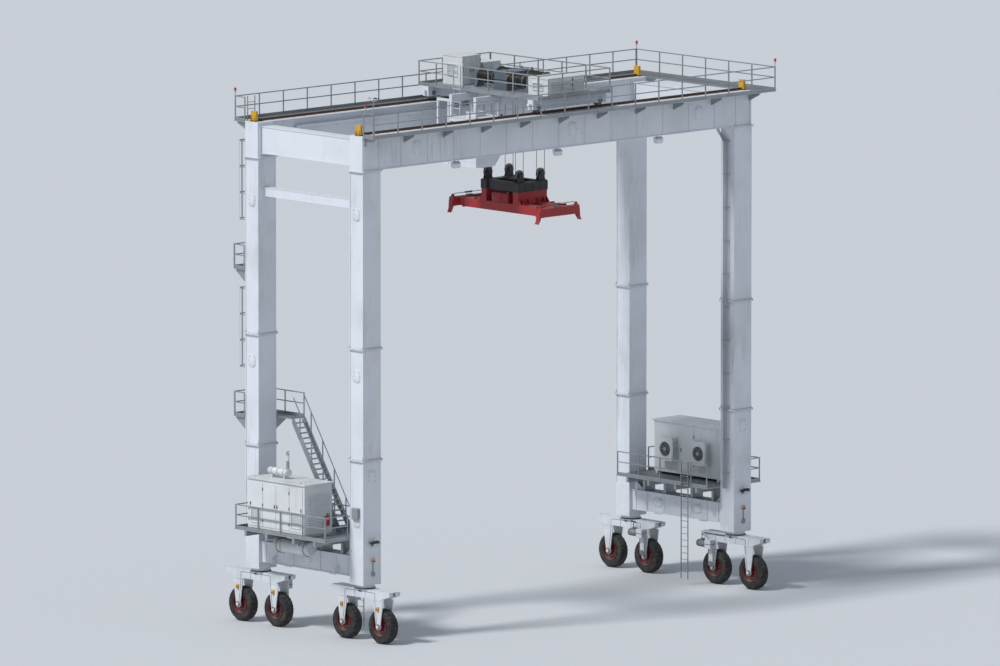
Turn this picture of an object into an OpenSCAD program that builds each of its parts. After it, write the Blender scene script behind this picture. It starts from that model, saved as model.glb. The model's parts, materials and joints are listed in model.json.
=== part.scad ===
// Rubber tyred gantry crane for stacking containers, at its real size in millimetres.
// X runs across the span, Y along the travel direction and Z up from the ground.
// The origin is on the ground, midway between the four legs.

/* [Gantry frame] */
// Distance between the wheel lines of the two sides
span = 23470; // [22500:10:24500]
// Distance between the leg centres along the travel direction
leg_base = 7000; // [6900:10:7400]
// Height of the girders' top faces above the ground
girder_top = 23200; // [22800:10:24500]
// Depth of a girder
girder_depth = 1600; // [1500:10:1700]
// Width of a girder over its flanges
girder_w = 900; // [800:10:1000]
// Size of a leg across the crane
leg_x = 1100; // [1000:10:1200]
// Size of a leg along the travel direction
leg_y = 900; // [820:10:980]
// Thickness of the flange plates of legs, girders and sill beams
flange_t = 40; // [20:1:50]
// How far the flange plates stand out past the webs
flange_lip = 30; // [15:1:45]
// Height of the underside of the legs' turntable rings
leg_foot = 2500; // [2460:5:2560]
// Height of a leg's turntable ring
turntable_h = 120; // [80:5:160]
// Radius of the turntable rings
turntable_r = 430; // [380:5:440]
// Height of the sill beams' undersides
sill_bottom = 2950; // [2900:10:3050]
// Depth of a sill beam
sill_h = 950; // [850:10:1050]
// Width of a sill beam across the crane
sill_x = 800; // [700:10:900]
// Depth of the box ties that join the girder ends
end_tie_h = 1250; // [1000:10:1350]
// Width of the box ties that join the girder ends
end_tie_w = 700; // [600:10:800]
// Height of the slim tie between the left legs, at its middle
leg_tie_z = 20000; // [19000:10:20600]
// Side of the slim tie's section
leg_tie_s = 400; // [300:10:450]

/* [Tyres and bogies] */
// Radius of a tyre
tyre_r = 807; // [780:1:820]
// Width of a tyre
tyre_w = 498; // [470:1:510]
// Distance between the two axles of a bogie
bogie_base = 2400; // [2300:10:2500]
// Length of a bogie's top beam
bogie_len = 4150; // [4000:10:4300]
// Width of a bogie's top beam
bogie_w = 680; // [640:5:720]
// Depth of a bogie's top beam
bogie_h = 400; // [350:5:430]
// Thickness of the fork plates that hold the axles
fork_t = 45; // [35:1:60]
// Gap between a wheel's hub and the fork plates
hub_gap = 6; // [5:1:12]
// Radius of a wheel's axle
axle_r = 75; // [60:1:85]

/* [Trolley] */
// Where the trolley stands along the girders
trolley_x = 900; // [-2000:10:2000]
// Length of the trolley along the girders
trolley_len = 4600; // [4400:10:4800]
// Height of the trolley rails
rail_h = 120; // [100:1:140]
// Width of a trolley rail's head
rail_w = 75; // [60:1:90]
// Radius of a trolley wheel's tread
trolley_wheel_r = 250; // [230:1:270]
// Radius of the rope drums, to the middle of the rope
drum_r = 300; // [270:1:320]
// Diameter of a hoist rope
rope_d = 26; // [20:1:30]
// Height of the tallest cabinet on the deck
cabinet_h = 1350; // [1100:10:1500]

/* [Cab] */
// Size of the driver's cab along the girders
cab_x = 1700; // [1500:10:1800]
// Size of the driver's cab along the travel direction
cab_y = 1800; // [1600:10:1900]
// Height of the driver's cab
cab_h = 2250; // [2050:10:2350]
// Thickness of the cab's frame and floor
cab_wall = 60; // [45:1:80]

/* [Spreader] */
// Height of the lock pins' tips at rest
hook_height = 18200; // [17000:10:18400]
// Distance between lock pins across the container
lock_x = 2259; // [2200:1:2300]
// Distance between lock pins along a short container
lock_y = 5853; // [5800:1:5900]
// Depth of the spreader's four sleeves
sleeve_h = 400; // [360:5:440]
// Width of a sleeve
sleeve_w = 260; // [240:5:270]
// Length of a sleeve
sleeve_len = 5000; // [4600:10:5200]
// Wall of a sleeve
sleeve_wall = 18; // [12:1:22]
// Gap between a telescopic beam and its sleeve, which the wear pads fill
slide_gap = 6; // [5:0.5:10]

/* [Platforms and houses] */
// Height of the machinery platforms
platform_z = 4700; // [4600:10:4900]
// Width of the platforms outside the wheel line
platform_out = 2065; // [2000:10:2200]
// Width of the platforms inside the legs
platform_in = 850; // [750:10:950]
// Length of the generator house along the travel direction
genset_len = 3800; // [3400:10:3900]
// Height of the generator house
genset_h = 2300; // [2100:10:2500]
// Width of both machinery houses
house_w = 1700; // [1600:10:1800]
// Length of the electrical house
electric_len = 4400; // [4000:10:4600]
// Height of the electrical house
electric_h = 2400; // [2200:10:2600]

/* [Access] */
// Height of the first ladder landing
landing_low = 9600; // [9300:10:9900]
// Height of the second ladder landing
landing_high = 16400; // [15800:10:17000]
// Width of the walkways along the girders
walkway_w = 720; // [650:10:800]
// Height of the handrails
rail_up = 1100; // [1000:10:1200]
// Width of the stair between its stringers' middles
stair_w = 700; // [600:10:740]
// Number of risers in the stair
step_count = 22; // [20:1:24]
// Width of a ladder
ladder_w = 450; // [400:10:500]

/* [Hidden] */
$fn = 48;

LEFT = -1;
RIGHT = 1;
FRONT = -1;
REAR = 1;
paint = [0.86, 0.88, 0.90];
spreader_red = [0.62, 0.14, 0.15];
tyre_black = [0.10, 0.09, 0.10];
steel_grey = [0.55, 0.57, 0.58];
motor_grey = [0.34, 0.37, 0.40];
block_dark = [0.20, 0.18, 0.19];
glass_tint = [0.16, 0.20, 0.22];

// A cut runs this far past the faces it goes through
cut = 1;

// Places of the main members
leg_cx = span / 2;
leg_cy = leg_base / 2;
leg_in_x = leg_cx - leg_x / 2;
leg_out_x = leg_cx + leg_x / 2;
leg_in_y = leg_cy - leg_y / 2;
leg_out_y = leg_cy + leg_y / 2;
leg_bottom = leg_foot + turntable_h;
girder_bottom = girder_top - girder_depth;
girder_in_y = leg_cy - girder_w / 2;
girder_out_y = leg_cy + girder_w / 2;
sill_top = sill_bottom + sill_h;

// Box between two corners, given in any order
module block(a, b) {
    low = [for (i = [0 : 2]) min(a[i], b[i])];
    high = [for (i = [0 : 2]) max(a[i], b[i])];
    translate(low) cube(high - low);
}

// Plate in the YZ plane, centred on x = 0, from a list of [y, z] points
module plate_yz(points, thickness) {
    translate([-thickness / 2, 0, 0]) rotate([90, 0, 90]) linear_extrude(thickness) polygon(points);
}

// Plate in the XZ plane, centred on y = 0, from a list of [x, z] points
module plate_xz(points, thickness) {
    translate([0, thickness / 2, 0]) rotate([90, 0, 0]) linear_extrude(thickness) polygon(points);
}

// Section of a leg or beam: a box whose two flange plates stand out past its webs
module box_section(width, depth, lip = flange_lip, flange = flange_t) {
    translate([-width / 2 + lip, -depth / 2]) square([width - 2 * lip, depth]);
    for (edge = [-depth / 2, depth / 2 - flange])
        translate([-width / 2, edge]) square([width, flange]);
}

// LEGS AND BEAMS

cap_t = 50;
cap_over = 70;
splice_t = 70;
splice_over = 65;
splice_under = 1300;
splice_step = 5100;
splice_levels = [landing_low - splice_under, landing_low - splice_under + splice_step];
foot_over_sill = 200;

module leg(side, end) {
    color(paint) translate([side * leg_cx, end * leg_cy, 0]) {
        translate([0, 0, leg_bottom]) linear_extrude(girder_bottom - leg_bottom)
            box_section(leg_x, leg_y);
        block([-leg_x / 2, -leg_y / 2, leg_bottom], [leg_x / 2, leg_y / 2, sill_top + foot_over_sill]);
        block([-leg_x / 2 - cap_over, -leg_y / 2 - cap_over, girder_bottom - cap_t],
            [leg_x / 2 + cap_over, leg_y / 2 + cap_over, girder_bottom]);
        for (level = splice_levels)
            block([-leg_x / 2 - splice_over, -leg_y / 2 - splice_over, level],
                [leg_x / 2 + splice_over, leg_y / 2 + splice_over, level + splice_t]);
        translate([0, 0, leg_foot]) cylinder(r = turntable_r, h = turntable_h);
    }
}

haunch_y = 650;
haunch_z = 490;
haunch_t = 40;
jack_pad_w = 420;
jack_pad_t = 80;
jack_pad_y = 1500;
lug_t = 40;
lug_out = 260;
lug_h = 400;
lug_hole_r = 45;
lug_y = 2100;

module sill_beam(side) {
    color(paint) translate([side * leg_cx, 0, 0]) {
        translate([0, leg_in_y, sill_bottom + sill_h / 2]) rotate([90, 0, 0])
            linear_extrude(2 * leg_in_y) box_section(sill_x, sill_h);
        for (end = [FRONT, REAR]) {
            for (off = [-1, 1]) translate([off * sill_x / 4, 0, 0]) plate_yz([
                [end * leg_in_y, sill_top], [end * leg_in_y, sill_top + haunch_z],
                [end * (leg_in_y - haunch_y), sill_top]], haunch_t);
            translate([0, end * jack_pad_y, sill_bottom - jack_pad_t / 2])
                cube([jack_pad_w, jack_pad_w, jack_pad_t], center = true);
            translate([side * (sill_x / 2 - flange_lip), end * lug_y, sill_bottom + flange_t])
                tie_down_lug(side);
        }
    }
}

// Storm lashing lug: a tapered plate with a shackle hole, standing out from x = 0
module tie_down_lug(side) {
    difference() {
        plate_xz([[0, 0], [side * lug_out, 0], [side * lug_out, lug_h / 2], [0, lug_h]], lug_t);
        translate([side * (lug_out - 2 * lug_hole_r), lug_t, 2.5 * lug_hole_r]) rotate([90, 0, 0])
            cylinder(r = lug_hole_r, h = 2 * lug_t);
    }
}

diaphragm_t = 16;
diaphragm_x = leg_x * 0.42;

tray_w = 240;
tray_h = 110;
tray_wall = 8;
tray_down = 420;
tray_arm_pitch = 2200;
lamp_pitch = 6400;
lamp_w = 460;
lamp_head = [[0, 0], [60, 0], [210, -110], [170, -300], [40, -220]];
lamp_stem = 60;

// Cable tray on a girder's inner web: a channel open at the top, on arms that taper to its edge
module cable_tray(end) {
    wall = girder_in_y + flange_lip;
    run = leg_in_x - tray_arm_pitch / 2;
    level = girder_top - tray_down;
    for (y = [wall, wall - tray_w + tray_wall])
        block([-run, end * y, level], [run, end * (y - tray_wall), level + tray_h]);
    block([-run, end * wall, level], [run, end * (wall - tray_w), level + tray_wall]);
    for (x = [-run + tray_arm_pitch / 4 : tray_arm_pitch : run])
        translate([x, 0, 0]) plate_yz([[end * wall, level], [end * (wall - tray_w), level],
            [end * (wall - tray_w), level - tray_wall], [end * wall, level - tray_h]], tray_wall);
}

// Floodlight under a girder: a wedge-shaped housing that faces down and out, on a short stem
module floodlight(end) {
    translate([0, end * (leg_cy + girder_w / 4), girder_bottom]) {
        plate_yz([for (p = lamp_head) [end * p[0], p[1] - lamp_stem]], lamp_w);
        block([-lamp_stem / 2, 0, -lamp_stem], [lamp_stem / 2, end * lamp_stem, 0]);
    }
}

module girder(end) {
    color(paint) {
        translate([0, end * leg_cy, girder_bottom + girder_depth / 2]) {
            translate([-leg_out_x, 0, 0]) rotate([90, 0, 90]) linear_extrude(2 * leg_out_x)
                box_section(girder_w, girder_depth);
            for (x = [-leg_cx, leg_cx], off = [-1, 1])
                translate([x + off * diaphragm_x, 0, 0])
                    cube([diaphragm_t, girder_w, girder_depth], center = true);
        }
        cable_tray(end);
        for (x = [-lamp_pitch, 0, lamp_pitch])
            translate([x, 0, 0]) floodlight(end);
    }
}

rail_foot_w = 150;
rail_foot_t = 25;
rail_head_h = rail_h * 0.38;
rail_end_in = 250;
rail_end = leg_out_x - rail_end_in;
stop_t = 120;
stop_w = 320;
stop_h = 480;

module trolley_rails() {
    color(steel_grey) for (end = [FRONT, REAR]) translate([0, end * leg_cy, girder_top]) {
        translate([-rail_end, 0, 0]) rotate([90, 0, 90]) linear_extrude(2 * rail_end) {
            translate([-rail_foot_w / 2, 0]) square([rail_foot_w, rail_foot_t]);
            translate([-rail_w / 6, 0]) square([rail_w / 3, rail_h]);
            translate([-rail_w / 2, rail_h - rail_head_h]) square([rail_w, rail_head_h]);
        }
        for (side = [LEFT, RIGHT])
            block([side * rail_end, -stop_w / 2, 0], [side * (rail_end + stop_t), stop_w / 2, stop_h]);
    }
}

slim_lip = 15;
slim_flange = 20;

module portal_ties() {
    color(paint) {
        for (side = [LEFT, RIGHT])
            translate([side * leg_cx, girder_in_y + flange_lip, girder_top - girder_depth / 2])
                rotate([90, 0, 0]) linear_extrude(2 * (girder_in_y + flange_lip))
                    box_section(end_tie_w, end_tie_h);
        translate([-leg_cx, leg_in_y, leg_tie_z]) rotate([90, 0, 0])
            linear_extrude(2 * leg_in_y) box_section(leg_tie_s, leg_tie_s, slim_lip, slim_flange);
    }
}

// WALKWAYS AND HANDRAILS

grate_t = 60;
bar = 45;
rung = 26;
post_pitch = 1500;
mid_rail = 0.52;
toe_h = 120;
toe_t = 12;
rail_in = 30;
bracket_count = 10;
bracket_h = 420;
bracket_tip = 90;
bracket_back = 60;
bracket_t = 20;
bracket_in = 150;
end_walk_x = 880;
climb_out = 160;
climb_y = leg_out_y + climb_out;
hatch_half = 340;
hatch_edge = 60;
walk_edge_y = girder_out_y + walkway_w;
walk_edge_x = leg_out_x + end_walk_x;

// Floor grating between two [x, y] corners, its top face at the level given
module grating(a, b, level) {
    block([a[0], a[1], level - grate_t], [b[0], b[1], level]);
}

// Outline of a bracket that holds a grating edge, from the wall at reach 0, as [reach, z] points
function bracket(way, wall, edge, level, depth) = [
    [way * wall, level - grate_t], [way * (edge - bracket_back), level - grate_t],
    [way * (edge - bracket_back), level - grate_t - bracket_tip], [way * wall, level - grate_t - depth]];

module side_walkway(end) {
    web = girder_out_y - flange_lip;
    grating([-leg_out_x, end * girder_out_y], [leg_out_x, end * walk_edge_y], girder_top);
    for (i = [0 : bracket_count])
        translate([(2 * i / bracket_count - 1) * (leg_out_x - bracket_in), 0, 0])
            plate_yz(bracket(end, web, walk_edge_y, girder_top, bracket_h), bracket_t);
}

module end_walkway(side) {
    grating([side * leg_out_x, -walk_edge_y], [side * walk_edge_x, walk_edge_y], girder_top);
    for (end = [FRONT, REAR], off = [-1, 1])
        translate([0, end * leg_cy + off * girder_w * 0.4, 0])
            plate_xz(bracket(side, leg_out_x, walk_edge_x, girder_top, bracket_h), bracket_t);
}

module girder_walkways() {
    color(steel_grey) {
        side_walkway(FRONT);
        difference() {
            side_walkway(REAR);
            block([-leg_cx - hatch_half, climb_y - 2 * rung, girder_top - grate_t - cut],
                [-leg_cx + hatch_half, walk_edge_y - hatch_edge, girder_top + cut]);
        }
        end_walkway(RIGHT);
    }
}

// Handrail from one [x, y] point to another at a level: posts, two rails and a toe board
module railing(from, to, level) {
    run = to - from;
    length = norm(run);
    gaps = max(1, round(length / post_pitch));
    translate([from[0], from[1], level]) rotate([0, 0, atan2(run[1], run[0])]) {
        for (i = [0 : gaps])
            translate([i * (length - bar) / gaps, -bar / 2, 0]) cube([bar, bar, rail_up]);
        for (z = [rail_up - bar, rail_up * mid_rail])
            translate([0, -bar / 2, z]) cube([length, bar, bar]);
        translate([0, -toe_t / 2, 0]) cube([length, toe_t, toe_h]);
    }
}

module girder_handrails() {
    edge_y = walk_edge_y - rail_in;
    left = -leg_out_x + rail_in;
    right = walk_edge_x - rail_in;
    color(steel_grey) {
        for (end = [FRONT, REAR]) {
            railing([left, end * edge_y], [right, end * edge_y], girder_top);
            railing([left, end * (girder_out_y + cut)], [left, end * edge_y], girder_top);
        }
        railing([right, -edge_y], [right, edge_y], girder_top);
    }
}

// PLATFORMS AND MACHINERY HOUSES

platform_gap = 10;
platform_edge_y = leg_in_y - platform_gap;
platform_outer = leg_cx + platform_out;
platform_inner = leg_in_x - platform_in;
arm_w = 140;
arm_h = 240;
arm_gap = 30;
arm_end_y = leg_in_y - haunch_y - arm_w / 2 - arm_gap;
arm_mid_y = 900;
arm_rows = [-arm_end_y, -arm_mid_y, arm_mid_y, arm_end_y];
pedestal_in = 60;
tank_r = 330;
tank_step = 35;
tank_over = 160;
tank_gap = 260;
tank_x = leg_out_x + tank_r + tank_gap;

module platform(side) {
    under = platform_z - grate_t;
    color(steel_grey) {
        for (y = arm_rows) {
            block([side * platform_inner, y - arm_w / 2, under - arm_h],
                [side * platform_outer, y + arm_w / 2, under]);
            block([side * leg_cx - sill_x / 2 + pedestal_in, y - arm_w / 2, sill_top],
                [side * leg_cx + sill_x / 2 - pedestal_in, y + arm_w / 2, under - arm_h]);
        }
        grating([side * platform_inner, -platform_edge_y], [side * platform_outer, platform_edge_y],
            platform_z);
        if (side == LEFT)
            translate([-tank_x, 0, under - arm_h]) fuel_tank();
    }
}

// Fuel tank hung under two platform arms by straps, its ends slightly smaller than its barrel
module fuel_tank() {
    half = arm_mid_y + arm_w / 2 + tank_over;
    translate([0, 0, -tank_r]) rotate([90, 0, 0]) {
        cylinder(r = tank_r - tank_step, h = 2 * half, center = true);
        cylinder(r = tank_r, h = 2 * (half - tank_step), center = true);
    }
    for (end = [FRONT, REAR])
        block([-tank_r, end * arm_mid_y - arm_w / 4, -tank_r], [tank_r, end * arm_mid_y + arm_w / 4, 0]);
}

ladder_y = -1600;
ladder_side = 80;
gate = ladder_w / 2 + ladder_side;

module platform_handrails() {
    edge = platform_edge_y - rail_in;
    outer = platform_outer - rail_in;
    inner = platform_inner + rail_in;
    color(steel_grey) {
        for (side = [LEFT, RIGHT]) {
            railing([side * outer, -edge], [side * outer, edge], platform_z);
            for (end = [FRONT, REAR])
                railing([side * (leg_out_x + ladder_side), end * edge], [side * outer, end * edge],
                    platform_z);
        }
        for (side = [LEFT, RIGHT]) {
            railing([side * inner, -edge], [side * inner, ladder_y - gate], platform_z);
            railing([side * inner, ladder_y + gate], [side * inner, edge], platform_z);
        }
    }
}

skid_h = 120;
skid_w = 120;
skid_in = 150;
house_out = 110;
house_mid = platform_outer - house_out - house_w / 2;
roof_t = 60;
roof_over = 50;
panel_t = 25;
panel_gap = 30;
panel_edge = 120;
slat_pitch = 110;
slat_h = 60;
slat_out = 45;
slat_top = 10;
genset_y = 350;
genset_doors = 4;
electric_doors = 5;
house_base = platform_z + skid_h;

// Closed machine housing on two skids, its middle at x = 0 and y = 0
module house(length, height) {
    for (end = [FRONT, REAR])
        translate([0, end * (length / 2 - skid_in), platform_z + skid_h / 2])
            cube([house_w, skid_w, skid_h], center = true);
    block([-house_w / 2, -length / 2, house_base], [house_w / 2, length / 2, house_base + height - roof_t]);
    block([-house_w / 2 - roof_over, -length / 2 - roof_over, house_base + height - roof_t],
        [house_w / 2 + roof_over, length / 2 + roof_over, house_base + height]);
}

// Row of hinged door panels on a wall that faces along X, filling the wall but for a margin
module doors(wall, way, count, length, height) {
    clear = length - 2 * panel_edge;
    for (i = [0 : count - 1])
        block([wall, -clear / 2 + i * clear / count + panel_gap / 2, house_base + panel_edge],
            [wall + way * panel_t, -clear / 2 + (i + 1) * clear / count - panel_gap / 2,
                house_base + height - roof_t - panel_edge]);
}

// Louvred vent on a wall that faces along Y at y = 0
module vent(width, low, high, way) {
    for (z = [low : slat_pitch : high - slat_h])
        translate([0, 0, z]) plate_yz([[0, 0], [way * slat_out, 0], [way * slat_top, slat_h], [0, slat_h]],
            width);
}

silencer_r = 170;
silencer_len = 1300;
silencer_z = 290;
silencer_y = 700;
saddle_x = 110;
saddle_t = 60;
saddle_y = 400;
stack_r = 65;
stack_h = 900;

// Exhaust silencer lying on two saddles, with its upright outlet pipe
module exhaust_silencer() {
    for (end = [FRONT, REAR])
        block([-saddle_x, end * saddle_y - saddle_t / 2, 0], [saddle_x, end * saddle_y + saddle_t / 2,
            silencer_z - silencer_r / 2]);
    translate([0, silencer_len / 2, silencer_z]) rotate([90, 0, 0])
        cylinder(r = silencer_r, h = silencer_len);
    translate([0, -silencer_len * 0.43, silencer_z]) cylinder(r = stack_r, h = stack_h);
}

module generator_house() {
    color(paint) translate([-house_mid, genset_y, 0]) {
        house(genset_len, genset_h);
        for (way = [-1, 1])
            doors(way * house_w / 2, way, genset_doors, genset_len, genset_h);
        for (end = [FRONT, REAR])
            translate([0, end * genset_len / 2, 0])
                vent(house_w - 2 * panel_edge, house_base + 3 * panel_edge,
                    house_base + genset_h - 3 * panel_edge, end);
        translate([0, silencer_y, house_base + genset_h]) exhaust_silencer();
    }
}

cooler_x = 380;
cooler_y = 900;
cooler_h = 1100;
cooler_up = 600;

module electrical_house() {
    color(paint) translate([house_mid, 0, 0]) {
        house(electric_len, electric_h);
        doors(house_w / 2, 1, electric_doors, electric_len, electric_h);
        for (end = [FRONT, REAR])
            translate([-house_w / 2 - cooler_x, end * electric_len / 4 - cooler_y / 2,
                house_base + cooler_up]) cube([cooler_x, cooler_y, cooler_h]);
        block([-house_w / 2 - panel_t, -cooler_y / 2, house_base + panel_edge],
            [-house_w / 2, cooler_y / 2, house_base + electric_h - 2 * panel_edge]);
    }
}

// ACCESS TO THE TOP

stair_gap = 15;
stair_x = platform_inner + rail_in + bar + stair_gap;
stair_foot_y = -1050;
stair_head_y = 2050;
stair_rise = landing_low - platform_z;
stair_run = stair_head_y - stair_foot_y;
tread_d = 230;
tread_t = 30;
stringer_h = 260;
stringer_t = 14;
rail_posts = 4;
post_down = 100;

// Height above the platform of the stair's slope at a distance from its foot
function slope_at(run) = platform_z + run * stair_rise / stair_run;

// One side of the stair: the stringer, the posts and the sloping handrail
module stair_side() {
    plate_yz([[stair_foot_y - stringer_h, platform_z], [stair_foot_y + stringer_h / 2, platform_z],
        [stair_head_y, landing_low - stringer_h], [stair_head_y, landing_low],
        [stair_head_y - stringer_h / 2, landing_low]], stringer_t);
    for (i = [0 : rail_posts - 1]) {
        run = (i + 0.3) * stair_run / rail_posts;
        block([-bar / 2, stair_foot_y + run, slope_at(run) - post_down],
            [bar / 2, stair_foot_y + run + bar, slope_at(run) + rail_up - bar / 2]);
    }
    plate_yz([[stair_foot_y, slope_at(0) + rail_up - bar], [stair_foot_y, slope_at(0) + rail_up],
        [stair_head_y - 2 * bar, slope_at(stair_run - 2 * bar) + rail_up],
        [stair_head_y - 2 * bar, slope_at(stair_run - 2 * bar) + rail_up - bar]], bar);
}

module access_stair() {
    color(steel_grey) translate([-stair_x - stair_w, 0, 0]) {
        for (x = [0, stair_w])
            translate([x, 0, 0]) stair_side();
        for (i = [1 : step_count - 1])
            translate([stringer_t / 2, stair_foot_y + i * stair_run / step_count - tread_d / 2,
                    platform_z + i * stair_rise / step_count - tread_t])
                cube([stair_w - stringer_t, tread_d, tread_t]);
    }
}

landing_past = 60;
landing_right_in = 700;
landing_left = -leg_out_x - landing_past;
landing_right = -leg_in_x + landing_right_in;
landing_bracket = 600;
bracket_off = [-500, 500];

module ladder_landings() {
    edge_y = walk_edge_y - rail_in;
    inner = -platform_inner - rail_in;
    color(steel_grey) {
        grating([-leg_in_x, stair_head_y], [-platform_inner, walk_edge_y], landing_low);
        grating([landing_left, leg_out_y], [-leg_in_x, walk_edge_y], landing_low);
        difference() {
            grating([landing_left, leg_out_y], [landing_right, walk_edge_y], landing_high);
            block([-leg_cx - hatch_half, climb_y - 2 * rung, landing_high - grate_t - cut],
                [-leg_cx + hatch_half, walk_edge_y - hatch_edge, landing_high + cut]);
        }
        for (level = [landing_low, landing_high], x = bracket_off)
            translate([-leg_cx + x, 0, 0])
                plate_yz(bracket(1, leg_out_y, walk_edge_y, level, landing_bracket), bracket_t);
        for (y = bracket_off * 0.7)
            translate([0, leg_cy + y, 0])
                plate_xz(bracket(-1, leg_in_x, platform_inner + 2 * bracket_back, landing_low,
                    landing_bracket), bracket_t);
        railing([inner, stair_head_y], [inner, edge_y], landing_low);
        railing([landing_left, edge_y], [inner, edge_y], landing_low);
        railing([landing_left, edge_y], [landing_right, edge_y], landing_high);
        for (level = [landing_low, landing_high])
            railing([landing_left + bar / 2, leg_out_y], [landing_left + bar / 2, edge_y], level);
        railing([landing_right - bar / 2, leg_out_y], [landing_right - bar / 2, edge_y], landing_high);
    }
}

rung_pitch = 300;
stile_t = 14;
stile_d = 60;
ladder_up = 300;
ladder_out = 60;
hoop_r = 360;
hoop_t = 8;
hoop_w = 50;
hoop_pitch = 1200;
hoop_back = 270;
strap_angles = [-90, -45, 0, 45, 90];
cage_start = 2200;
cage_under = 100;
stay_pitch = 2400;
stay_t = 20;

// Ladder in the XZ plane from z = 0 up, its rungs in the plane y = 0
module ladder(height) {
    for (off = [-1, 1])
        translate([off * ladder_w / 2 - stile_t / 2, -stile_d / 2, 0]) cube([stile_t, stile_d, height]);
    for (z = [rung_pitch : rung_pitch : height - stile_d])
        translate([-ladder_w / 2, -rung / 2, z]) cube([ladder_w, rung, rung]);
}

// Safety cage round a ladder's climbing side, from one height to another
module cage(low, high) {
    for (z = [low : hoop_pitch : high - hoop_w]) translate([0, 0, z]) linear_extrude(hoop_w) difference() {
        circle(r = hoop_r);
        circle(r = hoop_r - hoop_t);
        translate([-2 * hoop_r, -2 * hoop_r]) square([4 * hoop_r, 2 * hoop_r - hoop_back]);
    }
    for (angle = strap_angles)
        translate([0, 0, low]) rotate([0, 0, angle]) translate([-hoop_w / 2, hoop_r - 1.5 * hoop_t, 0])
            cube([hoop_w, hoop_t, floor((high - hoop_w - low) / hoop_pitch) * hoop_pitch + hoop_w]);
}

module access_ladders() {
    color(steel_grey) {
        for (side = [LEFT, RIGHT]) {
            translate([side * (platform_inner - ladder_out), ladder_y, ladder_up]) rotate([0, 0, 90])
                ladder(platform_z + rail_up - ladder_up);
            for (off = [-1, 1])
                translate([0, ladder_y + off * ladder_w / 2, platform_z - grate_t])
                    block([side * platform_inner, -stay_t / 2, 0],
                        [side * (platform_inner - ladder_out), stay_t / 2, grate_t]);
        }
        translate([-leg_cx, climb_y, landing_low]) ladder(girder_top + rail_up - landing_low);
        translate([-leg_cx, climb_y + hoop_back, 0]) {
            cage(landing_low + cage_start, landing_high - grate_t - cage_under);
            cage(landing_high + cage_start, girder_top - grate_t - 2 * cage_under);
        }
        for (z = [landing_low + rung_pitch : stay_pitch : girder_bottom], off = [-1, 1])
            block([-leg_cx + off * ladder_w / 2 - stay_t / 2, leg_out_y, z],
                [-leg_cx + off * ladder_w / 2 + stay_t / 2, climb_y, z + stile_d]);
    }
}

// TROLLEY

rail_top = girder_top + rail_h;
trolley_axle_z = rail_top + trolley_wheel_r;
frame_clear = 120;
frame_bottom = rail_top + frame_clear;
frame_h = 460;
frame_top = frame_bottom + frame_h;
deck_t = 50;
deck_top = frame_top + deck_t;
carriage_w = 360;
carriage_in = leg_cy - carriage_w / 2;
cross_w = 320;
cross_in = 800;
cross_x = trolley_len / 2 - cross_in;
inner_y = 1700;
inner_w = 200;
inner_h = 300;
rope_top = frame_top - inner_h;
anchor_w = 160;
wheel_in = 350;
wheel_x = trolley_len / 2 - wheel_in;
pocket_gap = 30;
pocket_w = 180;
pocket_top = rail_top + 2 * trolley_wheel_r + pocket_gap;
tread_over = 40;
tread_w = rail_w + tread_over;
wheel_flange = 18;
wheel_flange_t = 22;
axle_cap_r = 110;
axle_cap_t = 40;
trolley_axle_r = 60;
cab_arm_w = 180;
cab_arm_lift = 60;
buffer_r = 90;
buffer_l = 150;

// Rope lines: each rope leaves the outer side of a drum, turns round a sheave and ends on the frame
sheave_r = 250;
drum_x = 620;
drum_y = 1050;
drum_up = 480;
drum_z = deck_top + drum_up;
rope_out_x = drum_x + drum_r;
rope_in_x = rope_out_x - 2 * sheave_r;
sheave_x = rope_out_x - sheave_r;

// Place of the cab under the trolley's left end
cab_lap = 100;
hanger_drop = 600;
cab_side = cross_x + cross_w / 2 - cab_lap;
cab_mid = -(cab_side + cab_x / 2);
cab_arm_end = cab_side + cab_x;
cab_arm_y = (cab_y - cab_arm_w) / 2;
cab_top = frame_bottom - hanger_drop;
cab_bottom = cab_top - cab_h;

module carriage(end) {
    difference() {
        translate([-trolley_len / 2, end * leg_cy - carriage_w / 2, frame_bottom])
            cube([trolley_len, carriage_w, frame_h]);
        for (off = [-1, 1])
            block([off * wheel_x - trolley_wheel_r - pocket_gap, end * leg_cy - pocket_w / 2,
                    frame_bottom - cut],
                [off * wheel_x + trolley_wheel_r + pocket_gap, end * leg_cy + pocket_w / 2, pocket_top]);
    }
    for (side = [LEFT, RIGHT])
        translate([side * trolley_len / 2, end * leg_cy, frame_bottom + frame_h / 2])
            rotate([0, side * 90, 0]) cylinder(r = buffer_r, h = buffer_l);
}

module trolley_frame() {
    color(paint) translate([trolley_x, 0, 0]) {
        for (end = [FRONT, REAR])
            carriage(end);
        for (off = [-1, 1]) {
            translate([off * cross_x - cross_w / 2, -carriage_in, frame_bottom])
                cube([cross_w, 2 * carriage_in, frame_h]);
            translate([-cross_x + cross_w / 2, off * inner_y - inner_w / 2, rope_top])
                cube([2 * cross_x - cross_w, inner_w, inner_h]);
            translate([off * rope_in_x - anchor_w / 2, -inner_y + inner_w / 2, rope_top])
                cube([anchor_w, 2 * inner_y - inner_w, inner_h]);
            translate([-cab_arm_end, off * cab_arm_y - cab_arm_w / 2, frame_bottom + cab_arm_lift])
                cube([cab_arm_end - cross_x - cross_w / 2, cab_arm_w, frame_h - 2 * cab_arm_lift]);
        }
    }
}

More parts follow.
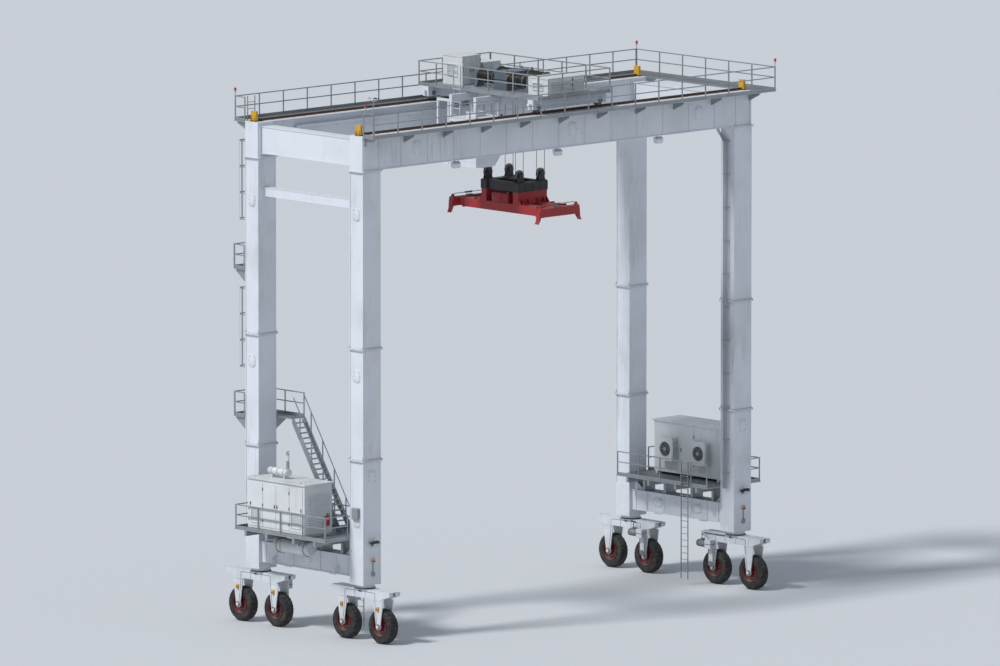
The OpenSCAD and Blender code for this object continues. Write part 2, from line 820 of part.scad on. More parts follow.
module trolley_wheels() {
    color(steel_grey) for (end = [FRONT, REAR], off = [-1, 1])
        translate([trolley_x + off * wheel_x, end * leg_cy, trolley_axle_z]) rotate([90, 0, 0]) {
            cylinder(r = trolley_wheel_r, h = tread_w, center = true);
            for (face = [-tread_w / 2 - wheel_flange_t, tread_w / 2])
                translate([0, 0, face]) cylinder(r = trolley_wheel_r + wheel_flange, h = wheel_flange_t);
            translate([0, 0, -pocket_w / 2]) cylinder(r = trolley_axle_r, h = pocket_w);
            for (face = [-carriage_w / 2 - axle_cap_t, carriage_w / 2])
                translate([0, 0, face]) cylinder(r = axle_cap_r, h = axle_cap_t);
        }
}

deck_over = 350;
deck_half_y = leg_cy + carriage_w / 2 + deck_over;
hole_past_rope = 210;
hole_edge = 20;
deck_hole_x = rope_out_x + hole_past_rope;
deck_hole_y = inner_y - inner_w / 2 - hole_edge;

module trolley_deck() {
    edge_x = trolley_len / 2 - rail_in;
    edge_y = deck_half_y - rail_in;
    color(steel_grey) translate([trolley_x, 0, 0]) {
        difference() {
            block([-trolley_len / 2, -deck_half_y, frame_top], [trolley_len / 2, deck_half_y, deck_top]);
            block([-deck_hole_x, -deck_hole_y, frame_top - cut], [deck_hole_x, deck_hole_y, deck_top + cut]);
        }
        for (end = [FRONT, REAR])
            railing([-edge_x, end * edge_y], [edge_x, end * edge_y], deck_top);
        railing([edge_x, -edge_y], [edge_x, edge_y], deck_top);
        railing([-edge_x, -edge_y], [-edge_x, cab_ladder_y - gate], deck_top);
        railing([-edge_x, cab_ladder_y + gate], [-edge_x, edge_y], deck_top);
    }
}

drum_len = 1000;
drum_start = 480;
flange_over = 40;
drum_flange_t = 30;
shaft_r = 90;
shaft_over = 240;
gearbox_over = 260;
gearbox_x = drum_x + gearbox_over;
gearbox_y = 420;
gearbox_up = 330;
pedestal_x = 150;
pedestal_y = 90;
pedestal_up = 130;
motor_r = 190;
motor_len = 620;

// Gearbox in the middle, turning four drums in opposite ways so that all ropes lift together
module hoist_winch() {
    color(motor_grey) translate([trolley_x, 0, 0]) {
        block([-gearbox_x, -gearbox_y, frame_top], [gearbox_x, gearbox_y, drum_z + gearbox_up]);
        for (off = [-1, 1], end = [FRONT, REAR]) {
            translate([off * drum_x, end * drum_start, drum_z]) rotate([-end * 90, 0, 0]) {
                cylinder(r = drum_r - rope_d / 2, h = drum_len);
                for (z = [0, drum_len])
                    translate([0, 0, z]) cylinder(r = drum_r + flange_over, h = drum_flange_t);
                translate([0, 0, gearbox_y - drum_start]) cylinder(r = shaft_r, h = drum_len + shaft_over);
            }
            translate([off * drum_x, end * inner_y, 0])
                block([-pedestal_x, -pedestal_y, deck_top], [pedestal_x, pedestal_y, drum_z + pedestal_up]);
            translate([off * rope_out_x, end * drum_y, rope_top])
                cylinder(r = rope_d / 2, h = drum_z - rope_top);
        }
        translate([gearbox_x, 0, drum_z]) rotate([0, 90, 0]) cylinder(r = motor_r, h = motor_len);
    }
}

cabinet_past = 450;
cabinet_y = inner_y + cabinet_past;
cabinet_d = 1300;
cabinet_w = 1150;
cabinet_gap = 200;
low_cabinet = 0.6;
mid_cabinet = 0.7;

module trolley_cabinets() {
    color(paint) translate([trolley_x, 0, deck_top]) {
        block([-cabinet_gap / 2 - cabinet_w, cabinet_y, 0],
            [-cabinet_gap / 2, cabinet_y + cabinet_d, cabinet_h]);
        block([cabinet_gap / 2, cabinet_y + cabinet_gap / 2, 0],
            [cabinet_gap / 2 + cabinet_w, cabinet_y + cabinet_d - cabinet_gap / 2, cabinet_h * mid_cabinet]);
        block([-cabinet_w, -cabinet_y - cabinet_d, 0], [cabinet_w, -cabinet_y, cabinet_h * low_cabinet]);
    }
}

// CAB

cab_roof_t = 90;
cab_post_w = 90;
hanger_w = 120;
slope_x = 520;
slope_z = 640;
slope_angle = atan2(slope_z, slope_x);
slope_len = norm([slope_x, slope_z]);
slope_edge = 70;
window_sill = 820;
window_head = 260;
window_h = cab_h - window_sill - window_head;
pane = 12;
floor_pane = 520;
floor_pane_x = cab_x / 2 - slope_x - floor_pane - slope_edge;
landing_w = 800;
landing_gap = 30;
landing_in_y = cab_y / 2 + landing_gap;
landing_out_y = landing_in_y + landing_w;
cab_ladder_y = (landing_in_y + landing_out_y) / 2;
landing_z = cab_bottom + cab_wall;
landing_post_w = 90;
landing_arm_h = 120;
landing_posts = [-cab_arm_end, -cab_side - 3 * landing_post_w];
air_box_w = 700;
air_box_d = 560;
air_box_h = 210;

// Landing beside the cab: a grating on four posts, which hang from two arms level with the trolley's frame
module cab_landing() {
    arm_z = frame_bottom + cab_arm_lift;
    edge_y = landing_out_y - rail_in;
    grating([-cab_arm_end, landing_in_y], [-cab_side, landing_out_y], landing_z);
    for (x = landing_posts) {
        block([x, cab_arm_y + cab_arm_w / 2, arm_z],
            [x + landing_post_w, landing_out_y, arm_z + landing_arm_h]);
        block([x, landing_out_y - landing_post_w, landing_z - grate_t],
            [x + landing_post_w, landing_out_y, arm_z + landing_arm_h]);
        block([x, landing_in_y, landing_z - grate_t], [x + landing_post_w, landing_in_y + landing_post_w,
            arm_z + landing_arm_h]);
    }
    railing([-cab_arm_end, edge_y], [-cab_side, edge_y], landing_z);
    for (x = [-cab_arm_end + rail_in, -cab_side - rail_in])
        railing([x, landing_in_y], [x, edge_y], landing_z);
    translate([-trolley_len / 2 - ladder_out, cab_ladder_y, landing_z]) rotate([0, 0, 90])
        ladder(deck_top + rail_up - landing_z);
    for (off = [-1, 1])
        block([-trolley_len / 2 - ladder_out, cab_ladder_y + off * ladder_w / 2 - stay_t / 2, frame_top],
            [-trolley_len / 2 - pad_gap, cab_ladder_y + off * ladder_w / 2 + stay_t / 2, deck_top]);
}

module cab_hanger() {
    color(paint) translate([trolley_x, 0, 0]) {
        for (x = [0, cab_x - 2 * hanger_w], off = [-1, 1])
            translate([-cab_arm_end + x, off * cab_arm_y - hanger_w / 2, cab_top])
                cube([hanger_w, hanger_w, frame_bottom + cab_arm_lift - cab_top]);
        cab_landing();
    }
}

// Side outline of the cab as [x, z] points, moved inwards by a wall and cut off below the roof
function cab_outline(wall, head) = let (half = cab_x / 2) [
    [-half + wall, wall],
    [half - slope_x - wall * (slope_len - slope_x) / slope_z, wall],
    [half - wall, slope_z + wall * (slope_len - slope_z) / slope_x],
    [half - wall, cab_h - head],
    [-half + wall, cab_h - head]];

// Box on the sloping lower front, from one depth of the wall to another
module on_slope(low, high) {
    half = cab_y / 2 - cab_post_w;
    translate([cab_x / 2 - slope_x, 0, 0]) rotate([0, -slope_angle, 0])
        block([slope_edge, -half, low], [slope_len - slope_edge, half, high]);
}

module cab_shell() {
    open_x = cab_x / 2 - cab_post_w;
    open_y = cab_y / 2 - cab_post_w;
    color(paint) translate([trolley_x + cab_mid, 0, cab_top])
        block([-air_box_w / 2, -air_box_d / 2, 0], [air_box_w / 2, air_box_d / 2, air_box_h]);
    color(paint) translate([trolley_x + cab_mid, 0, cab_bottom]) difference() {
        plate_xz(cab_outline(0, 0), cab_y);
        plate_xz(cab_outline(cab_wall, cab_roof_t), cab_y - 2 * cab_wall);
        block([-cab_x, -open_y, window_sill], [cab_x, open_y, window_sill + window_h]);
        block([-open_x, -cab_y, window_sill], [open_x, cab_y, window_sill + window_h]);
        on_slope(-cab_wall, 2 * cab_wall);
        block([floor_pane_x, -cab_y / 2 + 2 * cab_post_w, -cut],
            [floor_pane_x + floor_pane, cab_y / 2 - 2 * cab_post_w, cab_wall + cut]);
    }
}

module cab_glass() {
    color(glass_tint) translate([trolley_x + cab_mid, 0, cab_bottom]) {
        for (side = [LEFT, RIGHT])
            translate([side * (cab_x - cab_wall) / 2, 0, window_sill + window_h / 2])
                cube([pane, cab_y - 2 * cab_post_w, window_h], center = true);
        for (end = [FRONT, REAR])
            translate([0, end * (cab_y - cab_wall) / 2, window_sill + window_h / 2])
                cube([cab_x - 2 * cab_post_w, pane, window_h], center = true);
        on_slope(cab_wall / 2, cab_wall / 2 + pane);
        block([floor_pane_x, -cab_y / 2 + 2 * cab_post_w, cab_wall / 2],
            [floor_pane_x + floor_pane, cab_y / 2 - 2 * cab_post_w, cab_wall / 2 + pane]);
    }
}

// HEADBLOCK AND SPREADER

lock_pin = 110;
lock_cone = 50;
lock_neck_r = 30;
lock_tip_r = 20;
lock_shoulder_r = 50;
lock_cap_r = 70;
lock_cap_h = 120;
beam_bottom = hook_height + lock_pin;
sleeve_top = beam_bottom + sleeve_h;
tower_h = 560;
tower_w = 320;
headblock_bottom = sleeve_top + tower_h;
headblock_h = 420;
headblock_top = headblock_bottom + headblock_h;
headblock_x = 1900;
headblock_w = 380;
side_beam_x = 700;
side_beam_w = 260;
sheave_up = 330;
sheave_z = headblock_top + sheave_up;
sheave_w = 70;
groove = 18;
cheek_t = 30;
cheek_off = 75;
cheek_low = 230;
cheek_high = 110;
cheek_over = 130;
pin_r = 60;
pin_l = 220;

module hoist_ropes() {
    color(motor_grey) translate([trolley_x, 0, 0])
        for (x = [-rope_out_x, -rope_in_x, rope_in_x, rope_out_x], end = [FRONT, REAR])
            translate([x, end * drum_y, sheave_z]) cylinder(r = rope_d / 2, h = rope_top - sheave_z);
}

// Grooved sheave between two cheek plates, its axis along Y
module sheave() {
    bottom = sheave_r - rope_d / 2;
    for (off = [-1, 1])
        translate([0, off * cheek_off, 0]) plate_xz([[-cheek_low, headblock_top], [cheek_low, headblock_top],
            [cheek_high, sheave_z + cheek_over], [-cheek_high, sheave_z + cheek_over]], cheek_t);
    translate([0, 0, sheave_z]) rotate([90, 0, 0]) {
        rotate_extrude() polygon([[0, -sheave_w / 2], [bottom + rope_d / 2, -sheave_w / 2],
            [bottom, -groove / 2], [bottom, groove / 2], [bottom + rope_d / 2, sheave_w / 2],
            [0, sheave_w / 2]]);
        translate([0, 0, -pin_l / 2]) cylinder(r = pin_r, h = pin_l);
    }
}

module headblock() {
    color(block_dark) translate([trolley_x, 0, 0]) {
        for (end = [FRONT, REAR])
            translate([0, end * drum_y, headblock_bottom + headblock_h / 2])
                cube([headblock_x, headblock_w, headblock_h], center = true);
        for (off = [-1, 1])
            translate([off * side_beam_x, 0, headblock_bottom + headblock_h / 2])
                cube([side_beam_w, 2 * drum_y - headblock_w, headblock_h], center = true);
        for (off = [-1, 1], end = [FRONT, REAR])
            translate([off * sheave_x, end * drum_y, 0]) sheave();
    }
}

sleeve_gap = 20;
sleeve_in = 520;
sleeve_out = sleeve_in + sleeve_w + sleeve_gap;
end_beam_w = 300;
web_in = 150;
web_w = 200;
web_margin = 40;

// Corner guide that hangs outside a container's side, as [out, z] points from the beam's end and its bottom
guide_shape = [[0, 260], [45, 260], [70, -120], [150, -300], [120, -300], [10, -140], [0, -30]];
guide_w = 240;
pack_x = 760;
pack_y = 1100;
pack_h = 430;
pump_r = 120;
pump_len = 420;

// Main frame: two pairs of sleeves, the cross webs between them and the tower under the headblock
module spreader_frame() {
    color(spreader_red) translate([trolley_x, 0, beam_bottom]) {
        for (x = [-sleeve_out, -sleeve_in, sleeve_in, sleeve_out]) difference() {
            translate([x - sleeve_w / 2, -sleeve_len / 2, 0]) cube([sleeve_w, sleeve_len, sleeve_h]);
            translate([x - sleeve_w / 2 + sleeve_wall, -sleeve_len / 2 - cut, sleeve_wall])
                cube([sleeve_w - 2 * sleeve_wall, sleeve_len + 2 * cut, sleeve_h - 2 * sleeve_wall]);
        }
        for (end = [FRONT, REAR]) {
            translate([0, end * drum_y, sleeve_h + tower_h / 2])
                cube([2 * sleeve_out + sleeve_w, tower_w, tower_h], center = true);
            translate([0, end * (sleeve_len / 2 - web_in), sleeve_h / 2])
                cube([2 * sleeve_in - sleeve_w, web_w, sleeve_h - 2 * web_margin], center = true);
        }
        translate([-sleeve_in - pack_x / 2, -pack_y / 2, sleeve_h]) cube([pack_x, pack_y, pack_h]);
        translate([sleeve_in, pump_len / 2, sleeve_h + pump_r]) rotate([90, 0, 0])
            cylinder(r = pump_r, h = pump_len);
        translate([sleeve_in - pump_r, -pump_len / 2, sleeve_h]) cube([2 * pump_r, pump_len, pump_r]);
    }
}

beam_w = sleeve_w - 2 * sleeve_wall - 2 * slide_gap;
beam_h = sleeve_h - 2 * sleeve_wall - 2 * slide_gap;
pad_gap = 0.3;
pad_len = 160;
tail_in = 150;
corner_over = 90;

// Telescopic beam on the +Y side: two tails in the sleeves at +-sleeve_at, wear pads, end beam and locks
module spreader_beam(sleeve_at) {
    end_y = lock_y / 2;
    tail_y = -sleeve_len / 2 + tail_in;
    pad_w = beam_w + 2 * (slide_gap - pad_gap);
    pad_h = beam_h + 2 * (slide_gap - pad_gap);
    color(spreader_red) {
        for (off = [-1, 1]) translate([off * sleeve_at, 0, beam_bottom + sleeve_h / 2]) {
            block([-beam_w / 2, tail_y, -beam_h / 2], [beam_w / 2, end_y - end_beam_w / 2, beam_h / 2]);
            for (y = [tail_y, sleeve_len / 2 - pad_len])
                block([-pad_w / 2, y, -pad_h / 2], [pad_w / 2, y + pad_len, pad_h / 2]);
        }
        translate([0, end_y, beam_bottom + sleeve_h / 2])
            cube([lock_x + 2 * corner_over, end_beam_w, sleeve_h], center = true);
        for (off = [-1, 1])
            translate([off * (lock_x / 2 + corner_over), end_y, beam_bottom])
                plate_xz([for (p = guide_shape) [off * p[0], p[1]]], guide_w);
        for (off = [-1, 1]) translate([off * lock_x / 2, end_y, hook_height]) {
            cylinder(r1 = lock_tip_r, r2 = lock_shoulder_r, h = lock_cone);
            translate([0, 0, lock_cone]) cylinder(r = lock_neck_r, h = lock_pin - lock_cone);
            translate([0, 0, lock_pin + sleeve_h]) cylinder(r = lock_cap_r, h = lock_cap_h);
        }
    }
}

module spreader_beam_front() {
    translate([trolley_x, 0, 0]) rotate([0, 0, 180]) spreader_beam(sleeve_in);
}

module spreader_beam_rear() {
    translate([trolley_x, 0, 0]) spreader_beam(sleeve_out);
}

// BOGIES AND WHEELS

swivel_gap = 0.3;
bearing_gap = 0.05;
ring_h = 60;
bogie_top = leg_foot - swivel_gap - ring_h;
bogie_low = bogie_top - bogie_h;
bogie_tip = 180;
bogie_taper = 620;
bumper_len = 120;
bumper_r = 80;
fork_len = 620;
fork_shoulder = 120;
boss_r = 150;
boss_in = 20;
axle_y = bogie_base / 2;
axle_over = 60;
hub_w = bogie_w - 2 * fork_t - 2 * hub_gap;

// One side plate of a wheel fork, seen along X, with a round boss at the axle
module fork_plate() {
    rotate([90, 0, 90]) linear_extrude(fork_t) {
        polygon([[-fork_len / 2, bogie_low], [fork_len / 2, bogie_low],
            [fork_len / 2, bogie_low - fork_shoulder], [boss_r - boss_in, tyre_r],
            [-boss_r + boss_in, tyre_r], [-fork_len / 2, bogie_low - fork_shoulder]]);
        translate([0, tyre_r]) circle(r = boss_r);
    }
}

module bogie(side, end) {
    half = bogie_len / 2 - bumper_len;
    color(paint) translate([side * leg_cx, end * leg_cy, 0]) {
        plate_yz([[-half, bogie_top], [half, bogie_top], [half, bogie_top - bogie_tip],
            [half - bogie_taper, bogie_low], [-half + bogie_taper, bogie_low],
            [-half, bogie_top - bogie_tip]], bogie_w);
        translate([0, 0, bogie_top]) cylinder(r = turntable_r, h = ring_h);
        for (way = [-1, 1])
            translate([0, way * half, bogie_top - bogie_tip / 2]) rotate([-way * 90, 0, 0])
                cylinder(r = bumper_r, h = bumper_len);
        for (axle = [-1, 1]) translate([0, axle * axle_y, 0]) {
            for (x = [-bogie_w / 2, bogie_w / 2 - fork_t])
                translate([x, 0, 0]) fork_plate();
            translate([-bogie_w / 2 - axle_over, 0, tyre_r]) rotate([0, 90, 0])
                cylinder(r = axle_r, h = bogie_w + 2 * axle_over);
        }
        translate([-side * bogie_w / 2, -end * axle_y, 0]) travel_drive(-side);
    }
}

case_t = 110;
case_w = 300;
case_up = 90;
gear_w = 330;
gear_y = 190;
gear_up = 60;
travel_motor_r = 160;
travel_motor_l = 560;

// Travel gearbox and motor on the inner side of a bogie, with the chain case down to the axle
module travel_drive(way) {
    color(motor_grey) {
        block([0, -case_w / 2, tyre_r + case_up], [way * case_t, case_w / 2, bogie_low + gear_up]);
        block([0, -gear_y, bogie_low - gear_w], [way * gear_w, gear_y, bogie_low + gear_up]);
        translate([way * gear_w * 0.55, gear_y, bogie_low - gear_w * 0.4]) rotate([-90, 0, 0])
            cylinder(r = travel_motor_r, h = travel_motor_l);
    }
}

rim_r = 420;
rim_dish = 120;
rim_lip = 40;
bead = 60;
tyre_shoulder_w = 90;
hub_r = 190;

// Tyre, rim and hub turned about the axle, from a half profile of [radius, x] points
module wheel(side, end, axle) {
    half = tyre_w / 2;
    color(tyre_black) translate([side * leg_cx, end * leg_cy + axle * axle_y, tyre_r])
        rotate([0, 90, 0]) rotate_extrude() polygon([
            [axle_r + bearing_gap, -hub_w / 2], [hub_r, -hub_w / 2], [hub_r, -half + rim_dish],
            [rim_r, -half + rim_dish], [rim_r, -half + rim_lip], [rim_r + bead, -half],
            [tyre_r - tyre_shoulder_w, -half], [tyre_r, -half + tyre_shoulder_w],
            [tyre_r, half - tyre_shoulder_w], [tyre_r - tyre_shoulder_w, half],
            [rim_r + bead, half], [rim_r, half - rim_lip], [rim_r, half - rim_dish],
            [hub_r, half - rim_dish], [hub_r, hub_w / 2], [axle_r + bearing_gap, hub_w / 2]]);
}

// One line for each named part
leg(LEFT, FRONT);  // leg_front_left
leg(LEFT, REAR);  // leg_rear_left
leg(RIGHT, FRONT);  // leg_front_right
leg(RIGHT, REAR);  // leg_rear_right
sill_beam(LEFT);  // sill_beam_left
sill_beam(RIGHT);  // sill_beam_right
girder(FRONT);  // girder_front
girder(REAR);  // girder_rear
trolley_rails();
portal_ties();
girder_walkways();
girder_handrails();
platform(LEFT);  // platform_left
platform(RIGHT);  // platform_right
platform_handrails();
generator_house();
electrical_house();
access_stair();
ladder_landings();
access_ladders();
trolley_frame();
trolley_wheels();
trolley_deck();
hoist_winch();
trolley_cabinets();
cab_hanger();
cab_shell();
cab_glass();
hoist_ropes();
headblock();
spreader_frame();
spreader_beam_front();
spreader_beam_rear();
bogie(LEFT, FRONT);  // bogie_front_left
bogie(LEFT, REAR);  // bogie_rear_left
bogie(RIGHT, FRONT);  // bogie_front_right
bogie(RIGHT, REAR);  // bogie_rear_right
wheel(LEFT, FRONT, -1);  // wheel_front_left_1
wheel(LEFT, FRONT, 1);  // wheel_front_left_2
wheel(LEFT, REAR, -1);  // wheel_rear_left_1
wheel(LEFT, REAR, 1);  // wheel_rear_left_2
wheel(RIGHT, FRONT, -1);  // wheel_front_right_1
wheel(RIGHT, FRONT, 1);  // wheel_front_right_2
wheel(RIGHT, REAR, -1);  // wheel_rear_right_1
wheel(RIGHT, REAR, 1);  // wheel_rear_right_2
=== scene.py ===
"""Looks of a rubber tyred gantry crane: finishes, surface detail, light and camera."""
import json
import math

import bmesh
import bpy
import numpy as np
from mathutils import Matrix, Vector


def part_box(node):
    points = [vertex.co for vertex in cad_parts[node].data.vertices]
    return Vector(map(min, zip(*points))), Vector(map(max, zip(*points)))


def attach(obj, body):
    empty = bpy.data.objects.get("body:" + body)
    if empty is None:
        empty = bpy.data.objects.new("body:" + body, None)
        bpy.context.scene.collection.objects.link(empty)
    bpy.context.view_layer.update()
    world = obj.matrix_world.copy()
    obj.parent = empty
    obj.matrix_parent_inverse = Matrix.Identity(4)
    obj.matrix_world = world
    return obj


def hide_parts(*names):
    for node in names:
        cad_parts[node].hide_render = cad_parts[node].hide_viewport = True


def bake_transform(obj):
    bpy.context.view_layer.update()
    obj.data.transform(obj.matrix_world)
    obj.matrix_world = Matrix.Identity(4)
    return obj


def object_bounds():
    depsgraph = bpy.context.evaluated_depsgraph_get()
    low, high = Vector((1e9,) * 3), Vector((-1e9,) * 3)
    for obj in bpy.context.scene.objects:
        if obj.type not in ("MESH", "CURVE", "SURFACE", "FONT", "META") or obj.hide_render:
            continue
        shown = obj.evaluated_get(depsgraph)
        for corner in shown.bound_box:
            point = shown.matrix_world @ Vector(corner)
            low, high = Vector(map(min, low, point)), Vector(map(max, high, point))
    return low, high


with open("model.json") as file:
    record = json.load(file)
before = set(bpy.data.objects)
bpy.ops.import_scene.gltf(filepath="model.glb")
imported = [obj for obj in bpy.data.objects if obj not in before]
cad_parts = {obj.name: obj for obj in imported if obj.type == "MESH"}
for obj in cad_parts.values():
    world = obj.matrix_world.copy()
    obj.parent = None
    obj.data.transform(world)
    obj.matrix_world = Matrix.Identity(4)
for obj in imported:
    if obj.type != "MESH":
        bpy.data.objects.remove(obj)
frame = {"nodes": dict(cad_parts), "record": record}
cad_low, cad_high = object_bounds()

X_AXIS, Y_AXIS, Z_AXIS = np.eye(3)
TURN = 2 * math.pi
BOTH = (-1, 1)


# Surfaces
class Form:
    """Points, and the faces between them: corners lists point numbers, sizes how many each face takes."""

    def __init__(self, points, corners, sizes):
        self.points = np.asarray(points, float).reshape(-1, 3)
        self.corners = np.asarray(corners, int)
        self.sizes = np.asarray(sizes, int)

    def moved(self, place):
        """p + place"""
        return Form(self.points + np.asarray(place, float), self.corners, self.sizes)

    def turned(self, axis, angle):
        """p rotated about a line through the origin: Rodrigues' formula on the whole array."""
        k = np.asarray(axis, float)
        p = self.points
        along = (p @ k)[:, None] * k
        points = along + (p - along) * math.cos(angle) + np.cross(k, p) * math.sin(angle)
        return Form(points, self.corners, self.sizes)

    def mirrored(self, signs):
        """p times signs, one for each axis. Normals are worked out again when the piece is made."""
        return Form(self.points * np.asarray(signs, float), self.corners, self.sizes)

    def copies(self, places):
        """The same form at many places: p + place, for each place."""
        places = np.asarray(places, float).reshape(-1, 3)
        n = len(self.points)
        points = (places[:, None, :] + self.points[None, :, :]).reshape(-1, 3)
        corners = (np.arange(len(places))[:, None] * n + self.corners[None, :]).ravel()
        return Form(points, corners, np.tile(self.sizes, len(places)))


def joined(*forms):
    """Several forms as one."""
    starts = np.cumsum([0] + [len(f.points) for f in forms[:-1]])
    return Form(np.concatenate([f.points for f in forms]),
                np.concatenate([f.corners + s for f, s in zip(forms, starts)]),
                np.concatenate([f.sizes for f in forms]))


def one(forms):
    """A form as it is, or a list of forms as one."""
    return forms if isinstance(forms, Form) else joined(*forms)


def skin(points, ring=False):
    """Quads over a grid of points whose columns close on themselves. The first and last row are filled with
    one flat face each, or with ring they are joined to each other."""
    rows, cols = points.shape[:2]
    number = np.arange(rows * cols).reshape(rows, cols)
    here = number if ring else number[:-1]
    above = np.roll(number, -1, 0) if ring else number[1:]
    quads = np.stack([here, np.roll(here, -1, 1), np.roll(above, -1, 1), above], -1).reshape(-1)
    sizes = np.full(len(quads) // 4, 4)
    if not ring:
        quads = np.concatenate([quads, number[0, ::-1], number[-1]])
        sizes = np.concatenate([sizes, [cols, cols]])
    return Form(points, quads, sizes)


def circle(radius, count, start=0.0):
    """radius * (cos a, sin a) for count equal steps of a turn."""
    a = start + np.arange(count) * TURN / count
    return radius * np.stack([np.cos(a), np.sin(a)], -1)


def carried(profile, path, up=Z_AXIS, ring=False):
    """Profile carried along a path: point = path + u * side + v * top, where side and top stand square to the
    path's mean direction at each of its points, and top leans towards up."""
    path = np.asarray(path, float)
    profile = np.asarray(profile, float)
    if ring:
        ahead = np.roll(path, -1, 0) - path
        behind = np.roll(ahead, 1, 0)
    else:
        steps = np.diff(path, axis=0)
        ahead = np.concatenate([steps, steps[-1:]])
        behind = np.concatenate([steps[:1], steps])
    unit = lambda v: v / np.maximum(np.linalg.norm(v, axis=-1, keepdims=True), 1e-9)
    along = unit(unit(ahead) + unit(behind))
    side = unit(np.cross(along, np.asarray(up, float)))
    top = np.cross(side, along)
    profile = np.broadcast_to(profile, (len(path),) + profile.shape[-2:])
    points = path[:, None] + profile[..., :1] * side[:, None] + profile[..., 1:] * top[:, None]
    return skin(points, ring)


def lathe(profile, steps=32, wave=None):
    """Surface of revolution about Z from a closed profile of (radius, height) points: (r cos a, r sin a, h).
    wave(a, r, h), where given, moves r and h before the turn."""
    a = (np.arange(steps) * TURN / steps)[:, None]
    profile = np.asarray(profile, float)
    r, h = np.broadcast_arrays(profile[None, :, 0], profile[None, :, 1] + 0 * a)
    if wave:
        r, h = wave(a, r, h)
    return skin(np.stack([r * np.cos(a), r * np.sin(a), h], -1), ring=True)


def tube(inner, outer, low, high, steps=28):
    """Short tube about Z between two heights."""
    return lathe([[inner, low], [outer, low], [outer, high], [inner, high]], steps)


def slab(low, high, edge=0.006):
    """Box with cut edges between two corners: its outline, with cut corners, is carried up through four
    rings, and the outer two are drawn in by the edge."""
    low, high = np.minimum(low, high).astype(float), np.maximum(low, high).astype(float)
    mid, half = (low + high) / 2, (high - low) / 2
    e = min(edge, half.min() * 0.45)
    sx = np.array([1, 1, 1, -1, -1, -1, -1, 1])
    sy = np.array([-1, 1, 1, 1, 1, -1, -1, -1])
    cx = np.array([0, 0, 1, 1, 0, 0, 1, 1])
    ring = lambda draw, z: np.stack([sx * (half[0] - draw - e * cx), sy * (half[1] - draw - e * (1 - cx)),
                                     np.full(8, z)], -1)
    levels = [ring(e, -half[2]), ring(0, -half[2] + e), ring(0, half[2] - e), ring(e, half[2])]
    return skin(np.stack(levels) + mid)


def block(middle, half, edge=0.006):
    """Box with cut edges, from its middle and half its size each way."""
    middle, half = np.asarray(middle, float), np.asarray(half, float)
    return slab(middle - half, middle + half, edge)


def plate(outline, thick, origin=(0, 0, 0), across=X_AXIS, up=Z_AXIS, edge=0.003):
    """Flat plate: outline points (u, v) carried through the plate's thickness either side of the origin,
    drawn in towards their middle by the edge on both faces."""
    outline = np.asarray(outline, float)
    across, up = np.asarray(across, float), np.asarray(up, float)
    depth = np.cross(across, up)
    middle = outline.mean(0)
    reach = np.linalg.norm(outline - middle, axis=1, keepdims=True)
    drawn = outline - (outline - middle) / np.maximum(reach, 1e-6) * edge
    place = lambda o, d: np.asarray(origin, float) + o[:, :1] * across + o[:, 1:] * up + d * depth
    half = thick / 2
    return skin(np.stack([place(drawn, -half), place(outline, -half + edge), place(outline, half - edge),
                          place(drawn, half)]))


def rod(start, end, radius, sides=12):
    """Round bar: a circle carried along a straight line."""
    start, end = np.asarray(start, float), np.asarray(end, float)
    up = X_AXIS if abs((end - start)[2]) > 0.9 * np.linalg.norm(end - start) else Z_AXIS
    return carried(circle(radius, sides), [start, end], up)


def bent(points, radius, steps=5):
    """Path through points with each inner corner rounded: a parabola (1-t)^2 a + 2t(1-t) p + t^2 b between
    the points that lie radius before and after the corner."""
    points = [np.asarray(p, float) for p in points]
    path = [points[0][None]]
    t = np.linspace(0, 1, steps + 1)[:, None]
    for before, corner, after in zip(points, points[1:], points[2:]):
        a = corner + (before - corner) * radius / np.linalg.norm(before - corner)
        b = corner + (after - corner) * radius / np.linalg.norm(after - corner)
        path.append((1 - t) ** 2 * a + 2 * t * (1 - t) * corner + t ** 2 * b)
    path.append(points[-1][None])
    return np.concatenate(path)


def pipe(points, radius, bend=0.15, sides=10):
    """Bent pipe, cable or hose: a circle carried along a path with rounded corners."""
    path = bent(points, bend)
    away = np.linalg.norm(path - path.mean(0), axis=0)
    up = np.eye(3)[int(np.argmin(away))]
    return carried(circle(radius, sides), path, up)


def hex_bolt(across, head):
    """Bolt head on its washer, standing on z = 0: a round and a six-sided profile lifted in rings, whose
    radii are drawn in at the top."""
    washer, corner = across * 0.62, across / math.sqrt(3)
    turn = circle(1.0, 12)
    six = np.cos(math.pi / 6) / np.cos((np.arange(12) * TURN / 12) % (TURN / 6) - math.pi / 6)
    rings = [turn * washer, turn * washer, turn * corner * six[:, None], turn * corner * six[:, None],
             turn * corner * 0.86]
    heights = [-0.002, 0.004, 0.004, head - 0.003, head]
    return skin(np.stack([np.column_stack([r, np.full(12, h)]) for r, h in zip(rings, heights)]))


def facing(form, way):
    """A form made standing up along Z, turned to stand along way instead."""
    way = np.asarray(way, float)
    if way[2] > 0.99:
        return form
    if way[2] < -0.99:
        return form.turned(X_AXIS, math.pi)
    axis = np.cross(Z_AXIS, way)
    return form.turned(axis / np.linalg.norm(axis), math.acos(float(np.clip(way[2], -1, 1))))


# Bolts and nuts: width across the flats and height of the head
M10, M12, M16, M20, M24 = (0.016, 0.010), (0.019, 0.012), (0.024, 0.016), (0.030, 0.020), (0.036, 0.024)
CLIP_NUT, LOW_M20, STRAP_NUT, WHEEL_NUT = (0.024, 0.018), (0.030, 0.018), (0.028, 0.020), (0.041, 0.034)


def bolts(size, places, way=Z_AXIS):
    """Heads of one size at many places, all standing along way."""
    return facing(hex_bolt(*size), way).copies(places)


